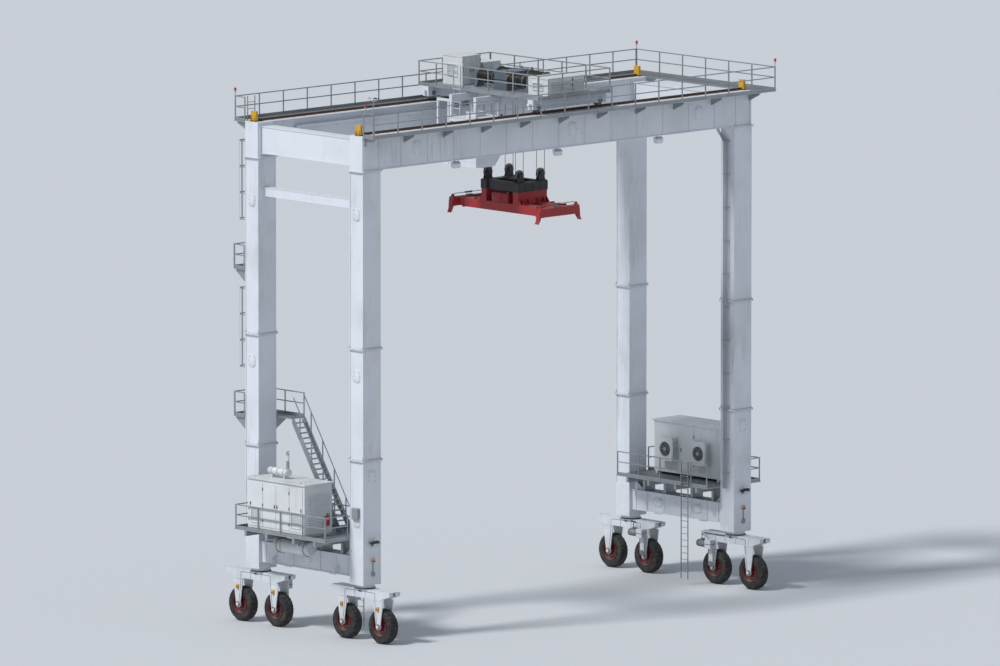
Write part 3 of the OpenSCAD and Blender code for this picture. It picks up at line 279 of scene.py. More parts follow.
def made(name, forms, material, body="gantry", smooth=35.0, replace=()):
    """One form, or a list of them, as a Blender piece at the origin with its faces pointing out. It rides
    on a body named by a string; anything else given as body leaves it fixed where it is."""
    form = one(forms)
    mesh = bpy.data.meshes.new(name)
    mesh.from_pydata(form.points, [], np.split(form.corners, np.cumsum(form.sizes)[:-1]))
    work = bmesh.new()
    work.from_mesh(mesh)
    bmesh.ops.remove_doubles(work, verts=work.verts, dist=1e-5)
    bmesh.ops.recalc_face_normals(work, faces=work.faces)
    work.to_mesh(mesh)
    work.free()
    mesh.polygons.foreach_set("use_smooth", np.ones(len(mesh.polygons), bool))
    mesh.set_sharp_from_angle(angle=math.radians(smooth))
    mesh.materials.append(material)
    piece = bpy.data.objects.new(name, mesh)
    bpy.context.scene.collection.objects.link(piece)
    if isinstance(body, str):
        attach(piece, body)
    else:
        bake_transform(piece)
    if replace:
        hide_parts(*replace)


def made_all(body, *rows, place=(0, 0, 0), tag=""):
    """One piece riding on body for each row of name, forms and material, moved to a place, with the tag after
    its name."""
    for name, forms, material in rows:
        made(name + tag, one(forms).moved(place), material, body)


def laid(form, origin, across):
    """A form made against a wall, with u along it, v up and w out of it, put on the real wall: origin +
    u across + v Z + w (across x Z)."""
    across = np.asarray(across, float)
    basis = np.stack([across, Z_AXIS, np.cross(across, Z_AXIS)])
    return Form(form.points @ basis + np.asarray(origin, float), form.corners, form.sizes)


def corners(node):
    """Lowest and highest corner of a CAD node as arrays."""
    low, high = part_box(node)
    return np.array(low), np.array(high)


# Finishes
def to_linear(colour):
    """Linear RGBA of an sRGB hex colour."""
    parts = [int(colour[i : i + 2], 16) / 255 for i in (1, 3, 5)]
    return [c / 12.92 if c <= 0.04045 else ((c + 0.055) / 1.055) ** 2.4 for c in parts] + [1.0]


class Finish:
    """One procedural material, built from layers that each change colour, roughness or relief."""

    def __init__(self, name, colour, roughness, metallic=0.0, ior=1.5):
        self.material = bpy.data.materials.new(name)
        self.material.use_nodes = True
        self.tree = self.material.node_tree
        self.shader = self.tree.nodes["Principled BSDF"]
        self.place = self.tree.nodes.new("ShaderNodeTexCoord").outputs["Object"]
        self.colour = to_linear(colour)
        self.shader.inputs["Base Color"].default_value = self.colour
        self.shader.inputs["Roughness"].default_value = roughness
        self.shader.inputs["Metallic"].default_value = metallic
        self.shader.inputs["IOR"].default_value = ior
        self.tint = None
        self.relief = None

    def node(self, kind, *values, **settings):
        """Adds a node. Values go to its inputs in order, None leaves one as it is; settings are its own."""
        added = self.tree.nodes.new(kind)
        for key, value in settings.items():
            setattr(added, key, value)
        for socket, value in zip(added.inputs, values):
            if isinstance(value, bpy.types.NodeSocket):
                self.tree.links.new(value, socket)
            elif value is not None:
                socket.default_value = value
        return added

    def maths(self, operation, *values):
        """Result of one step of arithmetic on values or sockets."""
        return self.node("ShaderNodeMath", *values, operation=operation).outputs[0]

    def noise(self, size, stretch=(1, 1, 1), detail=3.0):
        """Noise whose spots are about size metres across, times stretch along each axis."""
        mapping = self.node("ShaderNodeMapping", self.place, None, None, [1 / (size * s) for s in stretch])
        return self.node("ShaderNodeTexNoise", mapping.outputs[0], None, 1.0, detail).outputs["Fac"]

    def window(self, value, low, high, bottom=0.0, top=1.0):
        """Value moved from low..high to bottom..top, and held there beyond."""
        return self.node("ShaderNodeMapRange", value, low, high, bottom, top).outputs[0]

    def axis(self, number, source=None):
        """One coordinate of the place, or of another vector."""
        return self.node("ShaderNodeSeparateXYZ", source or self.place).outputs[number]

    def normal(self):
        """Direction of the surface in world axes."""
        return self.node("ShaderNodeNewGeometry").outputs["Normal"]

    def flatness(self, low=0.3, high=0.9):
        """1 on level faces and 0 on walls."""
        return self.window(self.maths("ABSOLUTE", self.axis(2, self.normal())), low, high)

    def stripes(self, number, pitch, share):
        """1 on bars that take share of every pitch metres along an axis, else 0."""
        place = self.maths("FRACT", self.maths("MULTIPLY", self.axis(number), 1 / pitch))
        return self.maths("LESS_THAN", place, share)

    def stain(self, colour, amount):
        """Colour laid over what is there, by amount from 0 to 1."""
        mix = self.node("ShaderNodeMix", data_type="RGBA")
        self.tree.links.new(amount, mix.inputs[0])
        if self.tint is None:
            mix.inputs[6].default_value = self.colour
        else:
            self.tree.links.new(self.tint, mix.inputs[6])
        mix.inputs[7].default_value = to_linear(colour)
        self.tint = mix.outputs[2]
        return self

    def shine(self, value, low, high):
        """Roughness between low and high, where value runs from 0 to 1."""
        self.tree.links.new(self.window(value, 0.0, 1.0, low, high), self.shader.inputs["Roughness"])
        return self

    def bump(self, height, depth, strength=1.0):
        """Relief of depth metres, on top of any relief before it."""
        added = self.node("ShaderNodeBump")
        added.inputs["Strength"].default_value = strength
        added.inputs["Distance"].default_value = depth
        self.tree.links.new(height, added.inputs["Height"])
        if self.relief is not None:
            self.tree.links.new(self.relief, added.inputs["Normal"])
        self.relief = added.outputs[0]
        return self

    def done(self):
        """The material, with its last colour and relief joined to the shader."""
        if self.tint is not None:
            self.tree.links.new(self.tint, self.shader.inputs["Base Color"])
        if self.relief is not None:
            self.tree.links.new(self.relief, self.shader.inputs["Normal"])
        return self.material


def painted(name, colour, roughness=0.42, grime="#77756d", dirt=0.35, dusty=4.5):
    """Two-pack marine paint on welded plate: slow colour drift, rain streaks down the walls, yard dust that
    thickens towards the ground, and the faint waves that welding leaves in thin plate."""
    f = Finish(name, colour, roughness)
    f.stain(grime, f.window(f.noise(1.8, detail=5), 0.45, 0.85, 0.0, dirt * 0.45))
    walls = f.maths("SUBTRACT", 1.0, f.flatness())
    where = f.maths("MULTIPLY", walls, f.window(f.noise(1.3, (1, 1, 2), detail=4), 0.46, 0.70, 0.0, 1.0))
    for across, long, amount in ((0.05, 30, dirt), (0.21, 9, dirt * 0.7)):
        streak = f.window(f.noise(across, (1, 1, long), detail=5), 0.52, 0.80, 0.0, amount)
        f.stain(grime, f.maths("MULTIPLY", streak, where))
    low = f.window(f.axis(2), dusty, 0.4, 0.0, 1.0)
    splash = f.window(f.noise(0.4, detail=5), 0.25, 0.75, 0.15, 0.75)
    f.stain("#8a8377", f.maths("MULTIPLY", f.maths("MULTIPLY", low, splash), 0.55))
    settled = f.window(f.axis(2, f.normal()), 0.8, 1.0, 0.0, 1.0)
    f.stain("#9b968b", f.maths("MULTIPLY", settled, f.window(f.noise(0.5, detail=4), 0.3, 0.8, 0.05, 0.4)))
    f.shine(f.noise(0.02, detail=2), roughness - 0.1, roughness + 0.2)
    f.bump(f.noise(0.7, detail=1), 0.004, 0.3)
    return f.done()


def galvanised():
    """Hot-dip zinc on steel: pale metal, a spangle of crystals about 15 mm across, dull white patches."""
    f = Finish("galvanised_steel", "#a9adb0", 0.5, metallic=0.75)
    spangle = f.node("ShaderNodeTexVoronoi", f.place)
    spangle.inputs["Scale"].default_value = 1 / 0.015
    f.stain("#8e9397", f.window(f.axis(0, spangle.outputs["Color"]), 0.2, 0.9, 0.0, 0.55))
    f.stain("#c3c6c7", f.window(f.noise(0.6, detail=4), 0.5, 0.8, 0.0, 0.5))
    f.shine(f.noise(0.06), 0.38, 0.65)
    return f.done()


def floor_grating():
    """Galvanised open grating. Real bars stand 30 mm apart; here 60 mm, so that the gaps still show. Level
    faces are bars with painted shade in the gaps between them, standing in for the dark seen through the
    open holes, and the edges and brackets are plain zinc."""
    f = Finish("floor_grating", "#a4a8ab", 0.5, metallic=0.7)
    f.stain("#c3c6c7", f.window(f.noise(0.6, detail=4), 0.5, 0.8, 0.0, 0.5))
    bars = f.maths("MAXIMUM", f.stripes(0, 0.06, 0.38), f.stripes(1, 0.18, 0.14))
    # Painted shade: the gaps between the bars on level faces are darkened, as if seen through into shadow
    gap_shade = f.maths("MULTIPLY", f.maths("SUBTRACT", 1.0, bars), f.flatness(0.85, 0.95))
    f.stain("#3c3f42", f.maths("MULTIPLY", gap_shade, 0.85))
    f.bump(bars, 0.02, 0.5)
    return f.done()


def chequer_plate():
    """Painted floor plate with boot wear: raised lozenges, 18 by 56 mm, that stand 80 mm apart both ways."""
    f = Finish("chequer_plate", "#9ea3a6", 0.5, metallic=0.3)
    f.stain("#6f6d66", f.window(f.noise(0.9, detail=5), 0.4, 0.75, 0.0, 0.6))
    one = f.maths("MULTIPLY", f.stripes(0, 0.08, 0.22), f.stripes(1, 0.08, 0.7))
    lozenge = f.maths("MULTIPLY", one, f.flatness(0.85, 0.95))
    f.stain("#c4c7c8", f.maths("MULTIPLY", lozenge, 0.6))
    f.bump(lozenge, 0.006, 0.6)
    return f.done()


def rail_steel():
    """Rolled steel: brown rust with a burnished running face on top."""
    f = Finish("rail_steel", "#6c5445", 0.6, metallic=0.6)
    f.stain("#4d3629", f.window(f.noise(0.12, detail=5), 0.4, 0.7, 0.0, 0.7))
    f.stain("#a5a29d", f.window(f.axis(2, f.normal()), 0.9, 1.0, 0.0, 0.9))
    f.shine(f.noise(0.05), 0.3, 0.6)
    return f.done()


def tinted_glass():
    """Tinted laminated window glass."""
    f = Finish("tinted_glass", "#33464d", 0.04, ior=1.52)
    f.shader.inputs["Transmission Weight"].default_value = 0.4
    f.shine(f.noise(0.3), 0.02, 0.08)
    return f.done()


def worn(name, colour, roughness, metallic, marks, spots, shine=None, grain=None):
    """One colour with darker or paler marks. spots holds the marks' size in metres, the noise's detail, the
    noise at which they start and are full, and how much they then cover. shine holds a noise size and the
    roughness it runs between, grain a noise size and the depth of its relief."""
    size, detail, start, full, most = spots
    f = Finish(name, colour, roughness, metallic)
    f.stain(marks, f.window(f.noise(size, detail=detail), start, full, 0.0, most))
    if shine:
        f.shine(f.noise(shine[0]), shine[1], shine[2])
    if grain:
        f.bump(f.noise(grain[0]), grain[1], 0.4)
    return f.done()


def moulded(name, colour, roughness):
    """Moulded rubber or plastic: fine even grain, faded a little where the sun reaches."""
    return worn(name, colour, roughness, 0.0, "#77757a", (0.35, 4, 0.5, 0.85, 0.3), grain=(0.004, 0.0006))


def lamp_glass():
    """Clear ribbed lens of a floodlight over a bright reflector."""
    f = Finish("lamp_glass", "#dfe6ea", 0.12, metallic=0.35)
    f.bump(f.stripes(0, 0.02, 0.5), 0.002, 0.3)
    return f.done()


# Paints: the crane's white, the warmer white of baked enamel on the houses, and the red, maroon, dark grey,
# blue grey and yellow of its machinery, each with the grime that shows on it
WHITE = painted("white_marine_paint", "#dbe0e6", dirt=0.5)
CREAM = painted("house_enamel", "#d6d9da", 0.36, dirt=0.55)
RED = painted("spreader_red_paint", "#a02a2d", 0.45, "#33211f", 0.5, dusty=0.5)
MAROON = painted("rim_enamel", "#641a1e", 0.45, "#2d2220", 0.5, dusty=0.7)
DARK = painted("dark_machine_paint", "#2e2d30", 0.5, "#6a655c", 0.3)
BLUE_GREY = painted("machine_enamel", "#5d6872", 0.38, "#2c2b28", 0.5)
YELLOW = painted("safety_yellow_paint", "#d3a21d", 0.45, "#4b4131", 0.4)
ZINC = galvanised()
GRATING = floor_grating()
CHEQUER = chequer_plate()
RAIL = rail_steel()
GLASS = tinted_glass()
LENS = lamp_glass()
# Black carcass rubber, greyed by yard dust that stays in the grooves and on the sidewalls
TYRE = worn("tyre_rubber", "#202022", 0.82, 0.0, "#59534b", (0.22, 5, 0.4, 0.8, 0.6), grain=(0.012, 0.002))
# Machined or worn steel with a film of oil: drum flanges, wheel treads, pins
STEEL = worn("bare_steel", "#8b8a87", 0.35, 0.9, "#5d564d", (0.08, 5, 0.45, 0.75, 0.6),
             shine=(0.03, 0.25, 0.55))
# Zinc-plated bolt heads, a little brown at their washers
BOLT = worn("zinc_bolt", "#9c9c98", 0.4, 0.85, "#6d5a49", (0.05, 3, 0.5, 0.75, 0.5))
# Greased steel wire rope: dark, with a dull shine on the crowns of the strands
ROPE = worn("wire_rope", "#42413e", 0.45, 0.7, "#1f1c18", (0.04, 3, 0.4, 0.7, 0.7))
# Moulded rubber, cable sheath, plastic boxes, and the smooth tinted plastic of beacons and buttons
RUBBER = moulded("black_rubber", "#242426", 0.7)
CABLE = moulded("cable_sheath", "#2f3034", 0.55)
PLASTIC = moulded("grey_plastic", "#8d9195", 0.5)
AMBER = moulded("amber_lens", "#d0781a", 0.25)
SIGNAL = moulded("signal_red_plastic", "#b3201d", 0.3)

# Each material's slot in the record. A slot's first material is that of the CAD nodes in it, except for
# those in BY_NODE.
SLOTS = {"white_paint": (WHITE, CREAM), "red_paint": (RED, MAROON, SIGNAL),
         "dark_paint": (DARK, RUBBER, CABLE), "machine_grey": (BLUE_GREY,),
         "galvanised": (ZINC, PLASTIC, YELLOW), "tyre": (TYRE,), "rail_steel": (RAIL, STEEL, BOLT),
         "glass": (GLASS, LENS, AMBER), "wire_rope": (ROPE,)}
BY_NODE = {"girder_walkways": GRATING, "platform_left": GRATING, "platform_right": GRATING,
           "ladder_landings": GRATING, "trolley_deck": CHEQUER, "generator_house": CREAM,
           "electrical_house": CREAM, "trolley_cabinets": CREAM, "trolley_wheels": STEEL}
for part in frame["record"]["subparts"]:
    node = frame["nodes"][part["node"]]
    node.data.materials.clear()
    node.data.materials.append(BY_NODE.get(part["node"], SLOTS[part["material_slot"]][0]))


# Tyres and rims
SIDES = {"left": -1, "right": 1}
ENDS = {"front": -1, "rear": 1}
CORNERS = [(end, side) for side in SIDES for end in ENDS]
QUADS = [(way, end) for way in BOTH for end in BOTH]

TYRE_HALF = 0.249
CASING_MIDDLE = 0.600
BEAD_DROP = 0.165
TREAD_DEPTH = 0.026
LUGS = 26
NUT_CIRCLE = 0.248
DISC_OUT = 0.124


def tyre_form(outer):
    """Tyre about Z. Round the casing from bead to bead, t runs from -60 to 240 degrees: the half width is
    W |cos t|^0.6 and the radius M + H |sin t|^0.6, with a shorter H below the middle M. Slanting grooves cut
    the tread from each shoulder, TREAD_DEPTH deep, where the fraction of LUGS turns lies in the gap; two ribs
    ring the sidewall."""
    t = np.radians(np.linspace(-60, 240, 44))
    rise = np.where(np.sin(t) > 0, outer - CASING_MIDDLE, BEAD_DROP)
    across = TYRE_HALF * np.sign(np.cos(t)) * np.abs(np.cos(t)) ** 0.6
    radius = CASING_MIDDLE + rise * np.sign(np.sin(t)) * np.abs(np.sin(t)) ** 0.6

    def tread(a, r, h):
        shoulder = np.clip((np.abs(h) - 0.045) / 0.03, 0, 1)
        phase = (a * LUGS / TURN + np.abs(h) * 1.4 + 0.5 * (h > 0)) % 1.0
        groove = np.clip(2.4 - 14 * np.abs(phase - 0.5), 0, 1) * shoulder
        centre = np.clip(1.6 - np.abs(h) * 90, 0, 1) * 0.6
        deep = np.clip((r - outer + 0.075) / 0.03, 0, 1)
        rib = 0.006 * (np.exp(-((r - 0.69) / 0.008) ** 2) + np.exp(-((r - 0.49) / 0.012) ** 2))
        return r - TREAD_DEPTH * deep * np.maximum(groove, centre), h + np.sign(h) * rib * (1 - deep)

    return lathe(np.stack([radius, across], -1), LUGS * 8, tread)


def rim_form():
    """Rim, disc and hub about Z from one closed profile, whose second half mirrors the first. The disc sinks
    by 30 mm round each of eight hand holes, by a bell curve of the distance to the hole's middle."""
    front = np.array([[0.085, -0.289], [0.175, -0.289], [0.190, -0.274], [0.190, -0.150], [0.205, -0.128],
                      [0.250, -DISC_OUT], [0.300, -DISC_OUT], [0.350, -DISC_OUT], [0.392, -0.130],
                      [0.405, -0.160], [0.412, -0.216], [0.428, -0.222], [0.436, -0.240], [0.452, -0.236],
                      [0.452, -0.160]])
    profile = np.concatenate([front, [[0.440, 0.0]], front[::-1] * (1, -1)])

    def holes(a, r, h):
        off = (a % (TURN / 8) - TURN / 16) * r
        bell = np.exp(-(off / 0.042) ** 4 - ((r - 0.325) / 0.038) ** 4)
        return r, h - np.sign(h) * 0.030 * bell * (np.abs(h) < 0.14)

    return lathe(profile, 96, holes)


def ring_places(radius, count, height=0.0, start=0.0):
    """count places on a circle about Z."""
    spots = circle(radius, count, start)
    return np.column_stack([spots, np.full(count, height)])


def wheel_middle(end, side, number):
    """Middle of a CAD wheel."""
    return sum(corners(f"wheel_{end}_{side}_{number}")) / 2


wheel_low, wheel_high = corners("wheel_front_left_1")
tyre = facing(tyre_form((wheel_high[2] - wheel_low[2]) / 2), X_AXIS)
rim = facing(rim_form(), X_AXIS)
nuts = [bolts(WHEEL_NUT, ring_places(NUT_CIRCLE, 12, way * DISC_OUT), (0, 0, way)) for way in (1, -1)]
valve = pipe([(0.40, 0.0, 0.13), (0.33, 0.0, 0.16), (0.30, 0.0, 0.17)], 0.006, 0.02, 6)
nuts = facing(joined(*nuts, valve), X_AXIS)
for end, side in CORNERS:
    for axle in (1, 2):
        body = f"wheel_{end}_{side}_{axle}"
        middle = wheel_middle(end, side, axle)
        made(f"tyre_{end}_{side}_{axle}", tyre.moved(middle), TYRE, body, 40, (body,))
        made(f"rim_{end}_{side}_{axle}", rim.moved(middle), MAROON, body, 30)
        made(f"wheel_nuts_{end}_{side}_{axle}", nuts.moved(middle), BOLT, body, 30)


# Bogies
FORK_OUT = 0.340
GEAR_TEETH = 90


def slew_ring_form(radius, depth):
    """Toothed ring about Z: the outer radius is R + 18 mm times a squared-off sine of GEAR_TEETH turns."""
    profile = np.array([[radius - 0.10, 0], [radius, 0], [radius, depth], [radius - 0.10, depth]])

    def teeth(a, r, h):
        tooth = np.clip(np.sin(a * GEAR_TEETH) * 2.5, -1, 1)
        return r + np.where(r > radius - 0.05, 0.018 * tooth, 0), h

    return lathe(profile, GEAR_TEETH * 6, teeth)


def fins_form(radius, depth, length, count):
    """Motor barrel along Z: a circle whose radius steps out by depth, count times a turn."""
    turn = circle(1.0, count * 4)
    step = np.tile([1, 1, 0, 0], count)[:, None]
    rows = [(0.0, 0), (0.0, 1), (length, 1), (length, 0)]
    return skin(np.stack([np.column_stack([(radius + depth * fin * step) * turn, 0 * step + z])
                          for z, fin in rows]))


def cap_form(radius, depth, edge=0.012):
    """Shallow round cover standing on z = 0, its rim rounded by a quarter circle."""
    q = np.radians(np.linspace(0, 90, 5))
    rounded = np.stack([radius - edge + edge * np.cos(q), depth - edge + edge * np.sin(q)], -1)
    return lathe(np.concatenate([[[0, 0], [radius, 0]], rounded, [[0, depth]]]), 36)


def motor_form(radius, length):
    """Squirrel-cage motor along Z from z = 0: end bells, finned barrel, slotted fan cowl and terminal box."""
    bell = cap_form(radius * 1.04, length * 0.12)
    barrel = fins_form(radius * 0.98, radius * 0.11, length * 0.62, 30).moved((0, 0, length * 0.11))
    cowl = cap_form(radius * 1.06, length * 0.26, 0.03).moved((0, 0, length * 0.74))
    box = block((0, radius * 1.2, length * 0.46), (radius * 0.45, radius * 0.3, length * 0.16), 0.012)
    return joined(bell, barrel, cowl, box)


keeper = cap_form(0.125, 0.022)
keeper_bolts = bolts(M20, ring_places(0.102, 8, 0.022))
for end, side in CORNERS:
    body = f"bogie_{end}_{side}"
    top = corners(body)[1][2]
    leg = sum(corners(f"leg_{end}_{side}")) / 2
    teeth = slew_ring_form(0.452, 0.052).moved((leg[0], leg[1], top - 0.056))
    made(f"slew_teeth_{end}_{side}", teeth, STEEL, body, 30)
    faces = [((leg[0] + way * FORK_OUT, *wheel_middle(end, side, k)[1:]), (way, 0, 0))
             for k in (1, 2) for way in BOTH]
    keepers, heads = [[facing(form, out).moved(face) for face, out in faces]
                      for form in (keeper, keeper_bolts)]
    made(f"axle_keepers_{end}_{side}", keepers, DARK, body, 30)
    made(f"bogie_bolts_{end}_{side}", heads, BOLT, body, 30)


# Ropes, drums and sheaves
deck_low, deck_high = corners("trolley_deck")
trolley_x = (deck_low[0] + deck_high[0]) / 2
deck_z = deck_low[2] + 0.05
ropes_low, ropes_high = corners("hoist_ropes")
ROPE_R = 0.013
SHEAVE_R = 0.25
DRUM_R = 0.30
LAY = 0.16
rope_out = ropes_high[0] - trolley_x - ROPE_R
rope_in = rope_out - 2 * SHEAVE_R
rope_y = ropes_high[1] - ROPE_R
rope_top = float(ropes_high[2])
drum_x = rope_out - DRUM_R
drum_z = deck_z + 0.48
sheave_x = rope_out - SHEAVE_R
sheave_z = float(ropes_low[2])


def rope_form(x, y, z):
    """Stranded rope along a path: a six-lobed profile of radius R (0.94 + 0.1 cos 6a) carried along it, and
    turned by one turn for each LAY of length."""
    path = np.stack(np.broadcast_arrays(x, y, z), -1)
    travelled = np.concatenate([[0], np.cumsum(np.linalg.norm(np.diff(path, axis=0), axis=1))])
    a = np.arange(12)[None, :] * TURN / 12
    radius = ROPE_R * (0.94 + 0.1 * np.cos(6 * a))
    turn = a + travelled[:, None] / LAY * TURN
    return carried(np.stack([radius * np.cos(turn), radius * np.sin(turn)], -1), path, Y_AXIS)


def drum_winding_form(length, pitch=0.030, steps=40):
    """Rope laid on a grooved drum about Z: r = R + d/2 (1.9 sqrt|cos(pi (h / pitch - a / 2 pi))| - 1)."""
    h = np.linspace(0, length, int(length / pitch) * 5 + 1)
    outer = np.stack([np.full(len(h), DRUM_R), h], -1)
    inner = [[DRUM_R - 0.03, length], [DRUM_R - 0.03, 0.0]]

    def lay(a, r, h):
        crown = np.sqrt(np.abs(np.cos(math.pi * (h / pitch - a / TURN))))
        return np.where(r > DRUM_R - 0.01, DRUM_R + ROPE_R * (1.9 * crown - 1), r), h

    return lathe(np.concatenate([outer, inner]), steps, lay)


fall_z = np.linspace(rope_top + 0.02, sheave_z, int((rope_top - sheave_z) / LAY * 8))
falls = [rope_form(trolley_x + way * reach, end * rope_y, fall_z)
         for way, end in QUADS for reach in (rope_in, rope_out)]
t = np.linspace(0, math.pi, 60)
bow_x, bow_z = SHEAVE_R * np.cos(t), sheave_z - SHEAVE_R * np.sin(t)
bights = [rope_form(trolley_x + way * sheave_x + bow_x, end * rope_y, bow_z) for way, end in QUADS]
span = ("trolley", "hoist", (trolley_x, 0, rope_top), (trolley_x, 0, sheave_z))
made("hoist_rope_falls", falls, ROPE, span, 60, ("hoist_ropes",))
made("hoist_rope_bights", bights, ROPE, "hoist", 60)

DRUM_START, DRUM_LENGTH = 0.51, 0.97
winding = facing(drum_winding_form(DRUM_LENGTH), Y_AXIS).moved((0, DRUM_START, 0))
windings = [winding.mirrored((1, end, 1)).moved((trolley_x + way * drum_x, 0, drum_z)) for way, end in QUADS]
leads = [rope_form(trolley_x + way * rope_out, end * rope_y, np.linspace(drum_z, rope_top - 0.01, 60))
         for way, end in QUADS]
made("drum_windings", windings + leads, ROPE, "trolley", 50)


def pedestal_form(half, top, thick, crown=0.155):
    """Bearing pedestal in the XZ plane: straight foot, sides that lean in, and a half-round crown of the
    bearing's radius at height top."""
    a = np.radians(np.linspace(0, 180, 13))
    outline = np.concatenate([[[-half, 0], [half, 0], [half, 0.03], [crown, top * 0.55]],
                              np.stack([crown * np.cos(a), top + crown * np.sin(a)], -1),
                              [[-crown, top * 0.55], [-half, 0.03]]])
    return plate(outline, thick, edge=0.008)


# Gearbox, motor and bearings, first with the trolley's middle at x = 0
GEARBOX_X, GEARBOX_Y = 0.88, 0.42
JOINT_HALF, JOINT_LIP = 0.022, 0.05
PEDESTAL_Y = 1.70
gear_top = drum_z + 0.33
here = (trolley_x, 0, 0)
trim = [block((0, 0, drum_z), (GEARBOX_X + JOINT_LIP, GEARBOX_Y + JOINT_LIP, JOINT_HALF))]
trim += [slab((x - 0.012, way * GEARBOX_Y, drum_z - 0.45),
              (x + 0.012, way * (GEARBOX_Y + 0.045), gear_top - 0.03))
         for x in np.linspace(-0.75, 0.75, 6) for way in BOTH]
trim += [block((x, 0, gear_top + 0.011), (0.22, 0.26, 0.011)) for x in (-0.45, 0.45)]
trim += [facing(tube(0.035, 0.06, -0.012, 0.012, 20), Y_AXIS).moved((x, y, gear_top + 0.05))
         for x in (-0.8, 0.8) for y in (-0.34, 0.34)]
trim += [facing(cap_form(0.17, 0.05), (0, end, 0)).moved((way * drum_x, end * GEARBOX_Y, drum_z))
         for way, end in QUADS]
discs = [facing(cap_form(0.347, 0.042, 0.008), (0, end, 0)).moved((way * drum_x, end * y, drum_z))
         for way, end in QUADS for y in (0.474, 1.474)]
pedestals = [pedestal_form(0.26, drum_z - deck_z, 0.20).moved((way * drum_x, end * PEDESTAL_Y, deck_z))
             for way, end in QUADS]
motor = facing(motor_form(0.195, 0.50), X_AXIS).turned(X_AXIS, math.pi).moved((GEARBOX_X + 0.14, 0, drum_z))
brake = [facing(cap_form(0.27, 0.03, 0.006), X_AXIS).moved((GEARBOX_X + 0.055, 0, drum_z)),
         block((GEARBOX_X + 0.07, 0.24, drum_z), (0.05, 0.08, 0.13), 0.02)]
spots = [(x, way * (GEARBOX_Y + 0.03), drum_z + JOINT_HALF)
         for x in np.linspace(-0.85, 0.85, 12) for way in BOTH]
spots += [(x + u, v, gear_top + 0.022)
          for x in (-0.45, 0.45) for u in (-0.19, 0.0, 0.19) for v in (-0.23, 0.23)]
spots += [(way * drum_x + u, end * PEDESTAL_Y + v, deck_z + 0.03)
          for way, end in QUADS for u in (-0.22, 0.22) for v in (-0.06, 0.06)]
hub_bolts = [facing(bolts(LOW_M20, ring_places(0.13, 8)), (0, end, 0))
             .moved((way * drum_x, end * (GEARBOX_Y + 0.05), drum_z)) for way, end in QUADS]
made_all("trolley", ("gearbox_trim", trim, BLUE_GREY), ("drum_flanges", discs, STEEL),
         ("bearing_pedestals", pedestals, BLUE_GREY), ("hoist_motor", motor, BLUE_GREY),
         ("hoist_brake", brake, STEEL), ("winch_bolts", [bolts(M24, spots), *hub_bolts], BOLT),
         place=here)


# Doors, louvres and grilles for walls
def border_form(width, height, section, depth, round_by=0.03):
    """Frame round an opening: a rectangular section carried round a rounded rectangle in u and v."""
    q = np.radians(np.linspace(0, 90, 5))
    turns = []
    for k, (u, v) in enumerate([(1, 1), (-1, 1), (-1, -1), (1, -1)]):
        a = q + k * math.pi / 2
        turns.append(np.stack([u * (width / 2 - round_by) + round_by * np.cos(a),
                               v * (height / 2 - round_by) + round_by * np.sin(a), 0 * a], -1))
    half, cut = section / 2, 0.004
    profile = [[-half, 0], [half, 0], [half, depth - cut], [half - cut, depth], [-half + cut, depth],
               [-half, depth - cut]]
    return carried(profile, np.concatenate(turns), ring=True)


def louvre_form(width, height, pitch=0.07, out=0.035):
    """Frame filled with slats: each slat's slanted section is carried across the width."""
    slat = [[0.0, 0.0], [-0.030, out], [-0.022, out], [0.020, 0.0]]
    one = carried(slat, [(-width / 2 + 0.02, 0, 0), (width / 2 - 0.02, 0, 0)], Z_AXIS)
    count = int((height - 0.06) / pitch)
    levels = (np.arange(count) - (count - 1) / 2) * pitch
    slats = one.copies(np.column_stack([0 * levels, levels, 0 * levels]))
    return joined(slats, border_form(width, height, 0.035, out + 0.006, 0.02))


def fan_form(radius, wire=0.005):
    """Fan guard: round wires at equal radii, spokes across them and a hub cap."""
    rings = [carried(circle(wire, 6), ring_places(r, 40, 0.02), ring=True)
             for r in np.linspace(radius * 0.28, radius, 8)]
    spokes = [rod((0, 0, 0.026), tip, wire, 6) for tip in ring_places(radius, 6, 0.026)]
    return joined(*rings, *spokes, cap_form(radius * 0.24, 0.04))


def furniture_form(width, height, hinge_way=1):
    """Handle on its plate and three hinges of one cabinet door, whose middle is at u = 0, v = 0."""
    u, hinge = -hinge_way * (width / 2 - 0.07), hinge_way * width / 2
    grip = [slab((u - 0.022, -0.09, 0), (u + 0.022, 0.09, 0.014)),
            pipe([(u, -0.06, 0.01), (u, -0.06, 0.045), (u, 0.06, 0.045), (u, 0.06, 0.01)], 0.009, 0.02, 8)]
    hinges = [rod((hinge, v - 0.06, 0.012), (hinge, v + 0.06, 0.012), 0.013, 10)
              for v in (-height * 0.36, 0.0, height * 0.36)]
    return joined(*grip, *hinges)


def door_form(width, height, margin=0.08):
    """Pressed sheet door: a flat panel with a raised middle."""
    u, v = width / 2, height / 2
    return joined(slab((-u, -v, 0), (u, v, 0.022)),
                  slab((margin - u, margin - v, 0.015), (u - margin, v - margin, 0.032), 0.010))


def gutter_form(low, high, lip=0.03):
    """Rain lip round a roof: a small angle section carried round the roof's rectangle."""
    profile = [[0, -0.03], [-lip, -0.03], [-lip, 0.012], [0.008 - lip, 0.012], [0.008 - lip, -0.02],
               [0, -0.02]]
    (x, y), (u, v, z) = low[:2], high
    ring = [(x, y, z), (x, v, z), (u, v, z), (u, y, z)]
    return carried(profile, ring, ring=True)


# Machinery houses
DOOR_OUT = 0.025
HOUSE_HALF = 0.85
ROOF_HALF = 0.90
HOUSE_BASE = corners("platform_left")[1][2] + 0.12
GENSET_TOP = HOUSE_BASE + 2.3
ELECTRIC_TOP = HOUSE_BASE + 2.4


